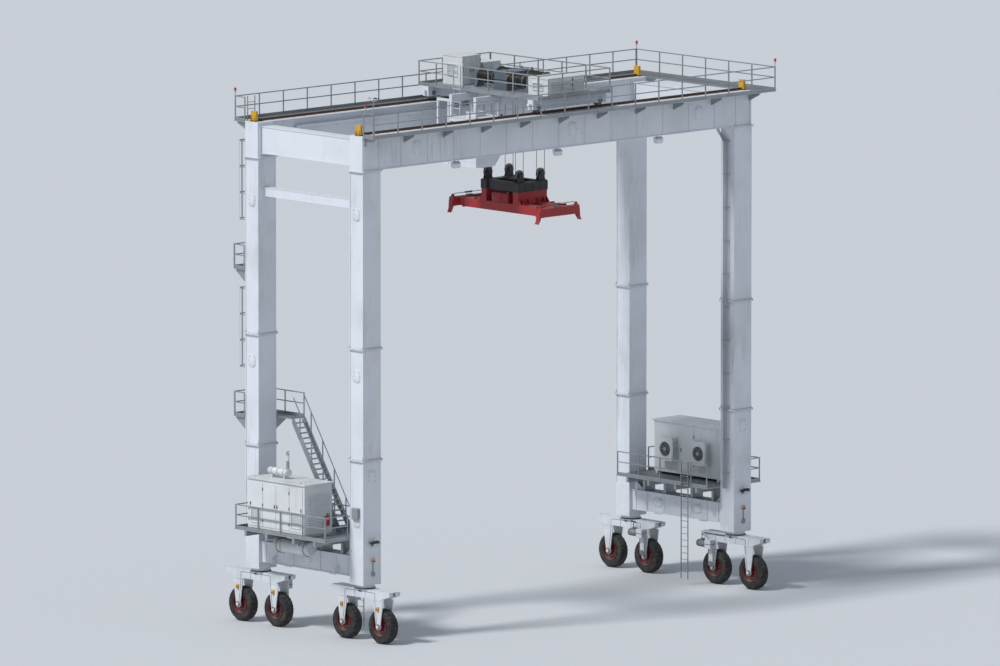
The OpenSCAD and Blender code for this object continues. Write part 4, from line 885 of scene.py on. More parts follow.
def door_row(face_x, middle_y, half_y, count, top):
    """Middles of the doors in a row along a house's wall, with their width and height."""
    steps = np.linspace(-half_y + 0.12, half_y - 0.12, count + 1)
    low, high = HOUSE_BASE + 0.12, top - 0.18
    spots = [(face_x, middle_y + y, (low + high) / 2) for y in (steps[1:] + steps[:-1]) / 2]
    return spots, steps[1] - steps[0] - 0.03, high - low


genset_low, genset_high = corners("generator_house")
genset_x, genset_y = ((genset_low + genset_high) / 2)[:2]
genset_half_y = (genset_high[1] - genset_low[1]) / 2 - 0.05
metal, vents = [], []
for way in BOTH:
    across = (0, way, 0)
    face_x = genset_x + way * (HOUSE_HALF + DOOR_OUT)
    spots, width, height = door_row(face_x, genset_y, genset_half_y, 4, GENSET_TOP)
    for k, spot in enumerate(spots):
        metal.append(laid(furniture_form(width, height, 1 if k % 2 else -1), spot, across))
        if k in (0, 3):
            louvre = louvre_form(width * 0.72, height * 0.36).moved((0, -height * 0.24, 0))
            vents.append(laid(louvre, spot, across))
lifting = facing(tube(0.04, 0.07, -0.012, 0.012, 18), X_AXIS).copies(
    [(genset_x + u, genset_y + v, GENSET_TOP + 0.06) for u in (-0.7, 0.7) for v in (-1.7, 1.7)])
filler = cap_form(0.07, 0.06).moved((genset_x - 0.5, genset_y - 1.2, GENSET_TOP))
roof_edge = gutter_form((genset_x - ROOF_HALF, genset_y - genset_half_y - 0.05, 0),
                        (genset_x + ROOF_HALF, genset_y + genset_half_y + 0.05, GENSET_TOP))
made_all("gantry", ("generator_door_furniture", metal, STEEL),
         ("generator_louvres", vents + [lifting, filler, roof_edge], CREAM))

electric_low, electric_high = corners("electrical_house")
electric_x = electric_high[0] - ROOF_HALF
electric_half_y = (electric_high[1] - electric_low[1]) / 2 - 0.05
metal, vents = [], []
spots, width, height = door_row(electric_x + HOUSE_HALF + DOOR_OUT, 0, electric_half_y, 5, ELECTRIC_TOP)
for k, spot in enumerate(spots):
    metal.append(laid(furniture_form(width, height, 1 if k % 2 else -1), spot, Y_AXIS))
    vents.append(laid(louvre_form(width * 0.6, height * 0.16).moved((0, -height * 0.36, 0)), spot, Y_AXIS))
COOLER_DEPTH, COOLER_Y, COOLER_Z = 0.38, 1.1, HOUSE_BASE + 1.15
wall = electric_x - HOUSE_HALF
coolers = [(wall - COOLER_DEPTH, end * COOLER_Y, COOLER_Z) for end in BOTH]
vents += [laid(louvre_form(0.30, 0.8), (wall - COOLER_DEPTH / 2, end * COOLER_Y - 0.45, COOLER_Z), X_AXIS)
          for end in BOTH]
metal.append(laid(furniture_form(0.9, 1.9), (wall - DOOR_OUT, 0, COOLER_Z), -Y_AXIS))
roof_edge = gutter_form((electric_x - ROOF_HALF, electric_low[1], 0),
                        (electric_x + ROOF_HALF, electric_high[1], ELECTRIC_TOP))

# Exhaust stack: sleeves, clamps round the silencer, and a rain flap on its hinge
flap = [cap_form(0.085, 0.012, 0.004).moved((0.085, 0, 0)).turned(Y_AXIS, -0.5).moved((-0.075, 0, 1.195)),
        rod((-0.075, -0.03, 1.195), (-0.075, 0.03, 1.195), 0.012),
        slab((-0.085, -0.012, 1.13), (-0.062, 0.012, 1.2), 0.003)]
sleeves = [tube(0.064, r, z, z + h)
           for z, h, r in ((0.44, 0.03, 0.085), (0.50, 0.34, 0.074), (1.10, 0.05, 0.071))]
stack = joined(*flap, *sleeves).moved((genset_x, genset_y + 0.141, GENSET_TOP))
clamps = facing(tube(0.168, 0.178, -0.02, 0.02, 36), Y_AXIS).copies(
    [(genset_x, genset_y + 0.7 + v, GENSET_TOP + 0.29) for v in (-0.6, -0.4, 0.0, 0.4, 0.6)])
made_all("gantry", ("electrical_door_furniture", metal, STEEL),
         ("electrical_louvres", vents + [roof_edge], CREAM),
         ("cooler_fan_guards", [laid(fan_form(0.35), spot, -Y_AXIS) for spot in coolers], ZINC),
         ("cooler_fan_mouths", [laid(cap_form(0.33, 0.012), spot, -Y_AXIS) for spot in coolers], RUBBER),
         ("exhaust_cowl", [stack, clamps], ZINC))


# Trolley cabinets: low corner, high corner and height of each, and its doors across
CABINETS = [((-1.25, 2.15), (-0.10, 3.45), 1.35, 2), ((0.10, 2.25), (1.25, 3.35), 0.945, 2),
            ((-1.15, -3.45), (1.15, -2.15), 0.81, 3)]
metal, panels, vents = [], [], []
for low, high, height, count in CABINETS:
    low, high = np.add(low, (trolley_x, 0)), np.add(high, (trolley_x, 0))
    mid, size = (low + high) / 2, high - low
    pitch = size[0] / count
    width, tall = pitch - 0.05, height - 0.10
    for end, face in ((-1, low[1]), (1, high[1])):
        across = (-end, 0, 0)
        for k in range(count):
            spot = (low[0] + (k + 0.5) * pitch, face, deck_z + height / 2)
            panels.append(laid(door_form(width, tall), spot, across))
            handle = furniture_form(width, tall, 1 if k % 2 else -1)
            metal.append(laid(handle.moved((0, 0, 0.022)), spot, across))
            if count == 3:
                vents.append(laid(louvre_form(pitch - 0.2, height - 0.3).moved((0, 0, 0.024)), spot, across))
    for way, face in ((-1, low[0]), (1, high[0])):
        louvre = louvre_form(size[1] * 0.5, height * 0.4)
        vents.append(laid(louvre, (face, mid[1], deck_z + height / 2), (0, way, 0)))
    vents.append(gutter_form((*low, 0), (*high, deck_z + height - 0.014)))
made_all("trolley", ("cabinet_doors", panels, CREAM), ("cabinet_louvres", vents, CREAM),
         ("cabinet_furniture", metal, STEEL))


# Driver's cab
cab_low, cab_high = corners("cab_shell")
cab_x = (cab_low[0] + cab_high[0]) / 2
CAB_X, CAB_Y = 0.85, 0.90
CAB_FLOOR, CAB_ROOF = cab_low[2], cab_high[2] - 0.21
WINDOW_HALF = 0.585
WINDOW_Z = CAB_FLOOR + 0.82 + WINDOW_HALF
GASKET, GASKET_OUT, GASKET_BEND = 0.045, 0.016, 0.06
SLOPE_X, SLOPE_Z = 0.52, 0.64
slope_run = math.hypot(SLOPE_X, SLOPE_Z)
slope_foot = np.array([cab_x + CAB_X - SLOPE_X, 0.0, CAB_FLOOR])
slope_axes = np.array([(0, 1, 0), (SLOPE_X / slope_run, 0, SLOPE_Z / slope_run),
                       (SLOPE_Z / slope_run, 0, -SLOPE_X / slope_run)])


def four(u, v, z=0.0):
    """The corners of a rectangle that reaches u and v from its middle."""
    return np.array([(way * u, end * v, z) for way, end in QUADS])


def on_slope(form):
    """A form made with u along Y, v up the sloping pane and w out of it, put on the cab's lower front."""
    return Form(form.points @ slope_axes + slope_foot, form.corners, form.sizes)


def on_door(form):
    """A form made against the cab's door, with u = 0, v = 0 at the door's middle."""
    return laid(form, (cab_x + 0.12, CAB_Y, CAB_FLOOR + 1.08), -X_AXIS)


def wiper_form(length, reach):
    """Wiper: a tapered arm from its spindle to the middle of a blade that lies along v."""
    arm = carried([[-0.009, 0], [0.009, 0], [0.006, 0.012], [-0.006, 0.012]],
                  [(0, 0, 0.03), (reach * 0.5, length * 0.45, 0.055), (reach, length * 0.75, 0.03)])
    blade = carried([[-0.006, 0], [0.006, 0], [0.003, 0.026], [-0.003, 0.026]],
                    [(reach, length * v, w) for v, w in ((0.3, 0.008), (0.75, 0.014), (1.2, 0.008))])
    return joined(arm, blade, cap_form(0.024, 0.05, 0.008))


# Windows: middle, direction along the wall, width and places of the mullions
walls = [((cab_x, -CAB_Y, WINDOW_Z), X_AXIS, 1.52, (-0.28, 0.36)),
         ((cab_x, CAB_Y, WINDOW_Z), -X_AXIS, 1.52, ()),
         ((cab_x + CAB_X, 0, WINDOW_Z), Y_AXIS, 1.62, (-0.28,)),
         ((cab_x - CAB_X, 0, WINDOW_Z), -Y_AXIS, 1.62, (-0.28, 0.36))]
gaskets = [on_slope(border_form(1.64, 0.705, GASKET, GASKET_OUT, GASKET_BEND).moved((0, slope_run / 2, 0))),
           laid(slab((-0.30, -0.03, -0.02), (-0.24, 0.09, 0.02), 0.008), walls[0][0], X_AXIS)]
for spot, across, width, mullions in walls:
    frame_ring = border_form(width + 0.02, 2 * WINDOW_HALF + 0.02, GASKET, GASKET_OUT, GASKET_BEND)
    bars = [slab((u - 0.02, -WINDOW_HALF, -GASKET), (u + 0.02, WINDOW_HALF, 0.004)) for u in mullions]
    gaskets.append(laid(joined(frame_ring, *bars), spot, across))
stiles = [slab((u - 0.035, -0.28, -0.03), (u + 0.035, 0.95, 0.012)) for u in (-0.35, 0.35)]
fittings = [rod((0.395, v - 0.06, 0.014), (0.395, v + 0.06, 0.014), 0.014, 10) for v in (-0.78, 0.0, 0.78)]
fittings += [slab((-0.33, -0.20, 0), (-0.27, -0.02, 0.016)),
             pipe([(-0.30, -0.06, 0.01), (-0.30, -0.06, 0.055), (-0.19, -0.06, 0.055)], 0.010, 0.02, 8)]
fittings += [pipe([(u, -0.55, 0), (u, -0.55, 0.075), (u, 0.45, 0.075), (u, 0.45, 0)], 0.016, 0.05, 10)
             for u in (-0.50, 0.53)]
wipers = [laid(wiper_form(0.62, way * 0.24), (cab_x + CAB_X, way * 0.38, WINDOW_Z - 0.60), Y_AXIS)
          for way in BOTH]
wipers.append(on_slope(wiper_form(0.36, 0.2).moved((0, 0.08, 0))))

# Guards over the sloping pane and under the floor window
ends = (0.03, slope_run - 0.03)
guard = [rod((u, ends[0], 0.06), (u, ends[1], 0.06), 0.009, 8) for u in np.linspace(-0.72, 0.72, 9)]
guard += [rod((-0.75, v, 0.06), (0.75, v, 0.06), 0.012, 8) for v in (ends[0], slope_run / 2, ends[1])]
guard += [rod((u, v, 0), (u, v, 0.06), 0.010, 8) for u in (-0.74, 0.74) for v in ends]
floor_bars = [rod((-0.28, v, -0.05), (0.28, v, -0.05), 0.009, 8) for v in np.linspace(-0.7, 0.7, 10)]
floor_bars += [rod((u, -0.72, -0.05), (u, 0.72, -0.05), 0.012, 8) for u in (-0.28, 0.28)]
floor_bars += [rod(spot, spot + (0, 0, 0.05), 0.010, 8) for spot in four(0.28, 0.7, -0.05)]
guards = [on_slope(joined(*guard)), joined(*floor_bars).moved((cab_x, 0, CAB_FLOOR))]
made_all("trolley", ("cab_window_gaskets", gaskets, RUBBER), ("cab_window_guards", guards, ZINC),
         ("cab_door_stiles", on_door(joined(*stiles)), WHITE), ("cab_wipers", wipers, RUBBER),
         ("cab_door_seam", on_door(border_form(0.78, 2.0, 0.022, 0.010, 0.05)), RUBBER),
         ("cab_fittings", on_door(joined(*fittings)), STEEL))

# Roof: rain lip, and the air conditioner's louvres and fan. Walls: the pressed ribs below the windows
roof_trim = [gutter_form((cab_x - CAB_X, -CAB_Y, 0), (cab_x + CAB_X, CAB_Y, CAB_ROOF), 0.025)]
for across, reach, width in ((X_AXIS, 0.28, 0.56), (Y_AXIS, 0.35, 0.42)):
    for along in (across, -across):
        spot = (cab_x, 0, CAB_ROOF + 0.105) + np.cross(along, Z_AXIS) * reach
        roof_trim.append(laid(louvre_form(width, 0.16, 0.045, 0.018), spot, along))
for half, spot, across in ((0.62, (cab_x - 0.1, -CAB_Y, CAB_FLOOR + 0.40), X_AXIS),
                           (0.70, (cab_x - CAB_X, 0, CAB_FLOOR + 0.40), -Y_AXIS)):
    roof_trim += [laid(slab((-half, v - 0.012, 0), (half, v + 0.012, 0.008)), spot, across)
                  for v in (-0.14, 0.0, 0.14)]


def lamp_form(width, height, depth):
    """Floodlight facing along +w: finned back, housing, rim and bracket."""
    u, v = width / 2, height / 2
    shell = slab((-u, -v, -depth), (u, v, 0), 0.012)
    fins = slab((0.01 - u, -0.004, -depth - 0.02), (u - 0.01, 0.004, -depth)).copies(
        [(0, place, 0) for place in np.linspace(-height * 0.4, height * 0.4, 7)])
    arm, bow = u + 0.012, height * 0.75
    stirrup = pipe([(-arm, 0, 0), (-arm, bow, 0), (arm, bow, 0), (arm, 0, 0)], 0.008, 0.02, 8)
    rim = border_form(width, height, 0.02, 0.012, 0.02)
    return joined(shell, fins, rim, stirrup.moved((0, 0, -depth / 2)))


LAMP_TIP = 1.15
lamp_spots = [(cab_x + CAB_X + 0.06, v, CAB_ROOF - 0.06) for v in (-0.62, 0.62)]
lamps, lenses = [laid(form, (0, 0, 0), Y_AXIS).turned(Y_AXIS, LAMP_TIP).copies(lamp_spots)
                 for form in (lamp_form(0.26, 0.18, 0.10), slab((-0.115, -0.075, 0), (0.115, 0.075, 0.006)))]
hangers = [(u, v, CAB_ROOF) for u in (cab_x - CAB_X + 0.06, cab_x + CAB_X - 0.18) for v in (-0.81, 0.81)]
made_all("trolley", ("cab_roof_trim", roof_trim, WHITE),
         ("cab_roof_fan", fan_form(0.18).moved((cab_x, 0, CAB_ROOF + 0.195)), ZINC),
         ("cab_lamps", lamps, DARK), ("cab_lamp_lenses", lenses, LENS),
         ("cab_hanger_plates", slab((-0.11, -0.09, 0), (0.11, 0.09, 0.025)).copies(hangers), WHITE),
         ("cab_hanger_bolts", bolts(M20, four(0.085, 0.065, 0.025)).copies(hangers), BOLT))


# Sheaves and headblock, first with the trolley's middle at x = 0
HEAD_TOP, HEAD_LOW = sheave_z - 0.33, sheave_z - 0.75
HEAD_Y = 1.05
PIN_OUT = 0.105
BEAM_LOW = corners("spreader_frame")[0][2]
BEAM_MID, SPREADER_TOP = BEAM_LOW + 0.2, BEAM_LOW + 0.4
sheave_spots = four(sheave_x, rope_y, sheave_z)
foot_spots = four(sheave_x, rope_y, HEAD_TOP)
spoke = plate([(-0.018, 0.08), (0.018, 0.08), (0.012, 0.205), (-0.012, 0.205)], 0.078)
sheave = [spoke.turned(Y_AXIS, k * TURN / 6) for k in range(6)]
sheave += [facing(tube(0.205, 0.262, way * 0.033, way * 0.040, 48), Y_AXIS) for way in BOTH]
sheave.append(facing(tube(0.05, 0.09, -0.05, 0.05, 32), Y_AXIS))
caps = [facing(cap_form(0.082, 0.018), (0, way, 0)).moved((0, way * PIN_OUT, 0)) for way in BOTH]
caps += [rod((u, -0.09, v), (u, 0.09, v), 0.012, 10) for u, v in ((-0.09, 0.10), (0.09, 0.10), (0, -0.29))]
cap_bolts = [facing(bolts(M12, ring_places(0.055, 4, 0.018, 0.785)), (0, way, 0))
             .moved((0, way * PIN_OUT, 0)) for way in BOTH]
foot_plates = slab((-0.31, -0.045, 0), (0.31, 0.045, 0.022)).copies([(0, v, 0) for v in (-0.075, 0.075)])
foot_bolts = bolts(M20, four(0.27, 0.075, 0.022))
ribs = [block((x, end * HEAD_Y, (HEAD_LOW + HEAD_TOP) / 2), (0.012, 0.205, 0.20))
        for x in (-0.88, -0.45, 0.0, 0.45, 0.88) for end in BOTH]
ribs.append(block((0, 0, HEAD_LOW - 0.064), (0.13, 0.13, 0.066), 0.02).copies(four(0.70, HEAD_Y)))
ribs.append(slab((-0.24, -0.30, HEAD_TOP - 0.32), (0.24, 0.30, HEAD_TOP + 0.06), 0.015))
rods = [rod((x, 0, HEAD_TOP - 0.15), (3 * x, 0, HEAD_TOP - 0.15), 0.03) for x in (-0.22, 0.22)]
rods += [rod((x, end * 0.86, HEAD_LOW + 0.30), (x, -end * 0.02, HEAD_LOW + 0.30), 0.018)
         for x in (-0.40, 0.40) for end in BOTH]
hoses = [pipe([(-0.20, y, HEAD_TOP - 0.28), (-0.42, y, HEAD_TOP - 0.30), (-0.47, y, HEAD_LOW - 0.05),
               (-0.45, y, SPREADER_TOP + 0.42)], 0.016, 0.10, 8) for y in (-0.18, -0.06, 0.06, 0.18)]
made_all("hoist", ("sheave_spokes", joined(*sheave).copies(sheave_spots), STEEL),
         ("sheave_pin_caps", joined(*caps).copies(sheave_spots), DARK),
         ("sheave_foot_plates", foot_plates.copies(foot_spots), DARK),
         ("headblock_bolts", [joined(*cap_bolts).copies(sheave_spots), foot_bolts.copies(foot_spots)], BOLT),
         ("headblock_ribs", ribs, DARK), ("headblock_rods", rods, STEEL), ("headblock_hoses", hoses, CABLE),
         place=here)


# Spreader, first with the trolley's middle at x = 0
SLEEVES = (-0.80, -0.52, 0.52, 0.80)
GUSSET = [(0, 0), (0.20, 0), (0.20, 0.02), (0.03, 0.24), (0, 0.24)]
GUSSET_Y = 0.16
trim = [laid(border_form(0.285, 0.425, 0.035, 0.10, 0.02), (x, end * 2.40, BEAM_MID), (-end, 0, 0))
        for x in SLEEVES for end in BOTH]
trim += [slab((x - 0.135, y - 0.008, SPREADER_TOP), (x + 0.135, y + 0.008, SPREADER_TOP + 0.06))
         for x in (-0.80, 0.80) for y in (-1.7, -0.62, 0.62, 1.7)]
for way, places in ((1, (-0.9, -0.66, -0.3, 0.3, 0.66, 0.9)), (-1, (0.3, 0.9))):
    trim += [plate(GUSSET, 0.016, (x, end * (HEAD_Y + way * GUSSET_Y), SPREADER_TOP), (0, way * end, 0))
             for x in places for end in BOTH]
pad_bolts = [(x + u, end * 2.44, SPREADER_TOP + 0.012)
             for x in SLEEVES for end in BOTH for u in (-0.06, 0.06)]

PACK_TOP = SPREADER_TOP + 0.43
PACK_FACES = ((-1, -0.90), (1, -0.14))
doors, metal = [], []
for way, x in PACK_FACES:
    face, across = (x, 0, (SPREADER_TOP + PACK_TOP) / 2), (0, way, 0)
    doors.append(laid(door_form(0.5, 0.36).moved((-0.27, 0, 0)), face, across))
    doors.append(laid(louvre_form(0.46, 0.34, 0.05, 0.02).moved((0.27, 0, 0)), face, across))
    metal.append(laid(furniture_form(0.5, 0.36).moved((-0.27, 0, 0.02)), face, across))
doors.append(slab((-0.86, -0.5, PACK_TOP), (-0.18, 0.5, PACK_TOP + 0.02)))
metal.append(cap_form(0.05, 0.07).moved((-0.72, -0.35, PACK_TOP + 0.02)))
metal.append(slab((0.18, -0.66, SPREADER_TOP - 0.06), (0.38, 0.66, SPREADER_TOP - 0.02), 0.008))
metal += [slab((0.20, y - 0.05, SPREADER_TOP - 0.03), (0.34, y + 0.05, SPREADER_TOP + 0.10), 0.01)
          for y in np.linspace(-0.55, 0.55, 6)]
pump = facing(motor_form(0.122, 0.44), Y_AXIS).moved((0.52, -0.22, SPREADER_TOP + 0.12))

# Each telescopic beam's cylinder: barrel and its two collars on the frame, rod and its eye on the beam
barrels, pistons = [], {}
for x, end in ((0.13, 1), (-0.13, -1)):
    for start, stop, radius in ((-1.5, 2.25, 0.055), (-1.5, -1.42, 0.068), (2.17, 2.25, 0.068)):
        barrels.append(rod((x, end * start, BEAM_MID), (x, end * stop, BEAM_MID), radius, 20))
    pistons[end] = joined(rod((x, -end * 1.2, BEAM_MID), (x, end * 2.80, BEAM_MID), 0.034, 16),
                          slab((x - 0.07, end * 2.70 - 0.04, BEAM_MID - 0.07),
                               (x + 0.07, end * 2.70 + 0.08, BEAM_MID + 0.07), 0.01))
made_all("hoist", ("spreader_collars", trim, RED), ("power_pack_doors", doors, RED),
         ("spreader_pad_bolts", bolts(CLIP_NUT, pad_bolts), BOLT), ("power_pack_metal", metal, STEEL),
         ("spreader_pump", pump, BLUE_GREY), ("extension_barrels", barrels, DARK), place=here)

# End beams, first with their middle at x = 0, y = 0
LOCK_X, LOCK_Y = 1.1295, 2.9265
LINK_Z = SPREADER_TOP + 0.15
locks = [(x, 0, SPREADER_TOP) for x in (-LOCK_X, LOCK_X)]
lever = [(-0.03, -0.03), (0.16, -0.02), (0.16, 0.02), (-0.03, 0.03)]
linkage = [plate(lever, 0.02, (way * LOCK_X, 0, SPREADER_TOP + 0.132), (-way, 0, 0), Y_AXIS)
           for way in BOTH]
linkage += [rod((-0.98, 0, LINK_Z), (0.98, 0, LINK_Z), 0.016),
            rod((-0.35, 0, LINK_Z), (0.08, 0, LINK_Z), 0.045, 16),
            slab((-0.22, -0.09, SPREADER_TOP), (0.10, 0.09, SPREADER_TOP + 0.05))]
trim = [block((way * LOCK_X, 0, BEAM_LOW + 0.044), (0.115, 0.155, 0.056), 0.015) for way in BOTH]
trim += [block((x, 0, BEAM_MID), (0.012, 0.158, 0.18))
         for x in (-0.98, -0.66, -0.38, 0.0, 0.38, 0.66, 0.98)]
trim.append(tube(0.072, 0.098, 0, 0.05).copies(locks))
heads = bolts(M20, four(0.07, 0.11)).copies(locks)
for name, end in ENDS.items():
    piston = pistons[end].moved((0, -end * LOCK_Y, 0))
    made_all(f"spreader_{name}", ("lock_linkage", [*linkage, piston], STEEL), ("end_beam_trim", trim, RED),
             ("end_beam_bolts", heads, BOLT), place=(trolley_x, end * LOCK_Y, 0), tag=f"_{name}")


# Legs
LEG_X, LEG_Y, LEG_HALF_X, LEG_HALF_Y = 11.735, 3.5, 0.55, 0.45
GIRDER_LOW, GIRDER_MID, GIRDER_TOP = 21.6, 22.4, 23.2
WEB_IN = 0.03
SPLICES = (8.3, 13.4)
WELDS = (5.9, 10.85, 15.9, 18.4)
COVERS, FACE_COVER = (5.55, 12.2, 19.6), 7.6
SPLICE_THICK = 0.07


def edge_places(half_x, half_y, height, pitch=0.16):
    """Evenly spaced places round a rectangle, about pitch apart."""
    across = np.linspace(-half_x, half_x, int(round(2 * half_x / pitch)) + 1)
    along = np.linspace(-half_y, half_y, int(round(2 * half_y / pitch)) + 1)[1:-1]
    flat = [(u, way * half_y, height) for u in across for way in BOTH]
    return np.array(flat + [(way * half_x, v, height) for v in along for way in BOTH])


def hatch_forms(width, height):
    """Bolted inspection cover in a wall: a raised rim and a rounded plate, and its ring of bolts. The
    outline is u = w/2 |cos a|^0.55, v = h/2 |sin a|^0.55, with the signs of cos and sin."""
    turn = circle(1.0, 40)
    outline = np.array([width / 2, height / 2]) * np.sign(turn) * np.abs(turn) ** 0.55
    rings = [(1.10, -0.03), (1.10, 0.010), (1.02, 0.012), (1.0, 0.026), (0.97, 0.030)]
    cover = skin(np.stack([np.column_stack([outline * scale, np.full(40, z)]) for scale, z in rings]))
    return cover, bolts(M16, np.column_stack([outline[::4] * 0.9, np.full(10, 0.030)]))


def weld_ring(height, bead=0.006):
    """Butt weld round a leg: a half-round bead carried round the box, and in along its set-back webs."""
    a = np.radians(np.linspace(0, 180, 5))
    x, y, lip = LEG_HALF_X, LEG_HALF_Y, WEB_IN
    path = [(x, y), (-x, y), (-x, y - lip), (lip - x, y - lip), (lip - x, lip - y), (-x, lip - y),
            (-x, -y), (x, -y), (x, lip - y), (x - lip, lip - y), (x - lip, y - lip), (x, y - lip)]
    path = np.column_stack([path, np.full(len(path), height)])
    return carried(np.stack([bead * 0.7 * np.sin(a), bead * np.cos(a)], -1), path, ring=True)


down = -Z_AXIS
heads, trim, seams = [], [weld_ring(z) for z in WELDS], []
for level in SPLICES:
    for z, way in ((level + SPLICE_THICK, Z_AXIS), (level, down)):
        heads.append(bolts(M24, edge_places(LEG_HALF_X + 0.034, LEG_HALF_Y + 0.034, z), way))
    seams.append(border_form(2 * LEG_HALF_X + 0.13, 2 * LEG_HALF_Y + 0.13, 0.004, 0.006, 0.004)
                 .moved((0, 0, level + 0.032)))
    trim += [plate([(0, 0), (0.062, 0), (0.02, 0.16), (0, 0.16)], 0.014,
                   (way * LEG_HALF_X, v, level + SPLICE_THICK), (way, 0, 0))
             for way in BOTH for v in (-0.43, 0.43)]
head_plate = edge_places(LEG_HALF_X + 0.038, LEG_HALF_Y + 0.038, GIRDER_LOW - 0.05)
heads.append(bolts(M24, head_plate, down))
hatch, hatch_bolts = hatch_forms(0.42, 0.56)
for way, end in QUADS:
    faces = [((way * (LEG_HALF_X - WEB_IN), 0, z), (0, way, 0)) for z in COVERS]
    if way > 0 or end < 0:
        faces.append(((0, end * LEG_HALF_Y, FACE_COVER), (-end, 0, 0)))
    covers, cover_bolts = [[laid(form, *face) for face in faces] for form in (hatch, hatch_bolts)]
    made_all("gantry", ("splice_bolts", heads, BOLT), ("leg_trim", trim + covers, WHITE),
             ("splice_seams", seams, DARK), ("cover_bolts", cover_bolts, BOLT),
             place=(way * LEG_X, end * LEG_Y, 0),
             tag=f"_{'rear' if end > 0 else 'front'}_{'right' if way > 0 else 'left'}")


# Sill beams and girders
SILL_HALF, SILL_LOW, SILL_Z, SILL_HIGH = 0.37, 2.99, 3.45, 3.86
trim, heads = [], []
hatch, hatch_bolts = hatch_forms(0.56, 0.40)
for way in BOTH:
    for face, v in ((way, 0.0), (-way, -1.3), (-way, 1.3)):
        spot = (way * LEG_X + face * SILL_HALF, v, SILL_Z)
        trim.append(laid(hatch, spot, (0, face, 0)))
        heads.append(laid(hatch_bolts, spot, (0, face, 0)))
    trim += [slab((way * LEG_X + face * SILL_HALF, v - 0.008, SILL_LOW),
                  (way * LEG_X + face * (SILL_HALF + 0.027), v + 0.008, SILL_HIGH))
             for v in (-2.75, -2.0, -0.9, 0.9, 2.0, 2.75) for face in BOTH]
made_all("gantry", ("sill_beam_trim", trim, WHITE), ("sill_cover_bolts", heads, BOLT))

GIRDER_FACE = 3.92
RAIL_Y = 3.5
CLIP_TOP = GIRDER_TOP + 0.030
TRAY_Z = 22.788
TRAY_CABLES = ((0.022, 2.87), (0.022, 2.92), (0.016, 2.962), (0.022, 3.006), (0.016, 3.05))
hatch, hatch_bolts = hatch_forms(0.50, 0.62)
trim, clips, heads, cables, fins, lenses = [], [], [], [], [], []
t = np.linspace(-10.0, 10.0, 60)
for end in BOTH:
    trim += [slab((x - 0.007, end * GIRDER_FACE, GIRDER_LOW + 0.04),
                  (x + 0.007, end * (GIRDER_FACE + 0.028), GIRDER_TOP - 0.04))
             for x in np.arange(-9.9, 10.0, 1.65)]
    for x in (-8.9, 0.85, 8.9):
        trim.append(laid(hatch, (x, end * GIRDER_FACE, GIRDER_MID), (-end, 0, 0)))
        heads.append(laid(hatch_bolts, (x, end * GIRDER_FACE, GIRDER_MID), (-end, 0, 0)))
    clip_spots, bolt_spots = [[(x, end * RAIL_Y + side * out, CLIP_TOP)
                               for x in np.arange(-11.7, 11.8, 0.65) for side in BOTH]
                              for out in (0.098, 0.106)]
    clips.append(block((0, 0, -0.015), (0.035, 0.036, 0.015), 0.005).copies(clip_spots))
    heads.append(bolts(CLIP_NUT, bolt_spots))
    for k, (radius, y) in enumerate(TRAY_CABLES):
        sway = 0.006 * np.sin(t * 1.3 + k * 1.7)
        path = np.stack([t, end * (y + sway), TRAY_Z + radius + 0 * t], -1)
        cables.append(carried(circle(radius, 8), path))
    for x in (-6.4, 0.0, 6.4):
        top = np.array([x, end * 3.725, GIRDER_LOW - 0.06])
        back = np.array([0, end * 0.150, -0.110])
        back_mid = top + (0, end * 0.135, -0.055)
        out = np.array([0, end * 0.110, 0.150])
        fins += [plate([(-0.085, -0.01), (0.085, -0.01), (0.075, 0.030), (-0.075, 0.030)], 0.006,
                       back_mid + (u, 0, 0), back / np.linalg.norm(back), out / np.linalg.norm(out))
                 for u in np.linspace(-0.21, 0.21, 12)]
        along = np.array([0, end * 0.130, -0.080])
        lenses.append(plate([(-0.20, -0.062), (0.20, -0.062), (0.20, 0.062), (-0.20, 0.062)], 0.012,
                            top + (0, end * 0.105, -0.260), X_AXIS, along / np.linalg.norm(along)))

# Cables up the front right leg
RUN_X, RUN_TOP = 11.07, 22.815
conduits, clamps = [], []
for k, y in enumerate((-3.34, -3.42, -3.50, -3.58)):
    inner = -2.87 - 0.05 * k
    path = bent([(RUN_X, y, 4.66), (RUN_X, y, 20.9), (RUN_X, inner, 21.35), (RUN_X, inner, RUN_TOP),
                 (10.0, inner, RUN_TOP)], 0.14)
    conduits.append(carried(circle(0.024, 10), path, Y_AXIS))
for z in np.arange(5.4, 21.0, 1.55):
    clamps += [slab((11.10, -3.64, z - 0.02), (11.125, -3.28, z + 0.02), 0.004),
               slab((11.04, -3.63, z - 0.012), (11.048, -3.29, z + 0.012), 0.002),
               block((11.1675, -3.60, z), (0.0525, 0.015, 0.015), 0.003),
               block((11.1675, -3.32, z), (0.0525, 0.015, 0.015), 0.003)]
made_all("gantry", ("girder_stiffeners", trim, WHITE), ("rail_clips", clips, RAIL),
         ("rail_clip_bolts", heads, BOLT), ("tray_cables", cables, CABLE), ("girder_lamp_fins", fins, WHITE),
         ("girder_lamp_lenses", lenses, LENS), ("leg_conduits", conduits, ZINC),
         ("conduit_clamps", clamps, ZINC))


# Fuel tank, first with its middle at the origin
TANK_PLACE, TANK_R, TANK_HALF = (-12.875, 0, 4.07), 0.33, 1.13
STRAP_YS = (-0.9, 0.9)
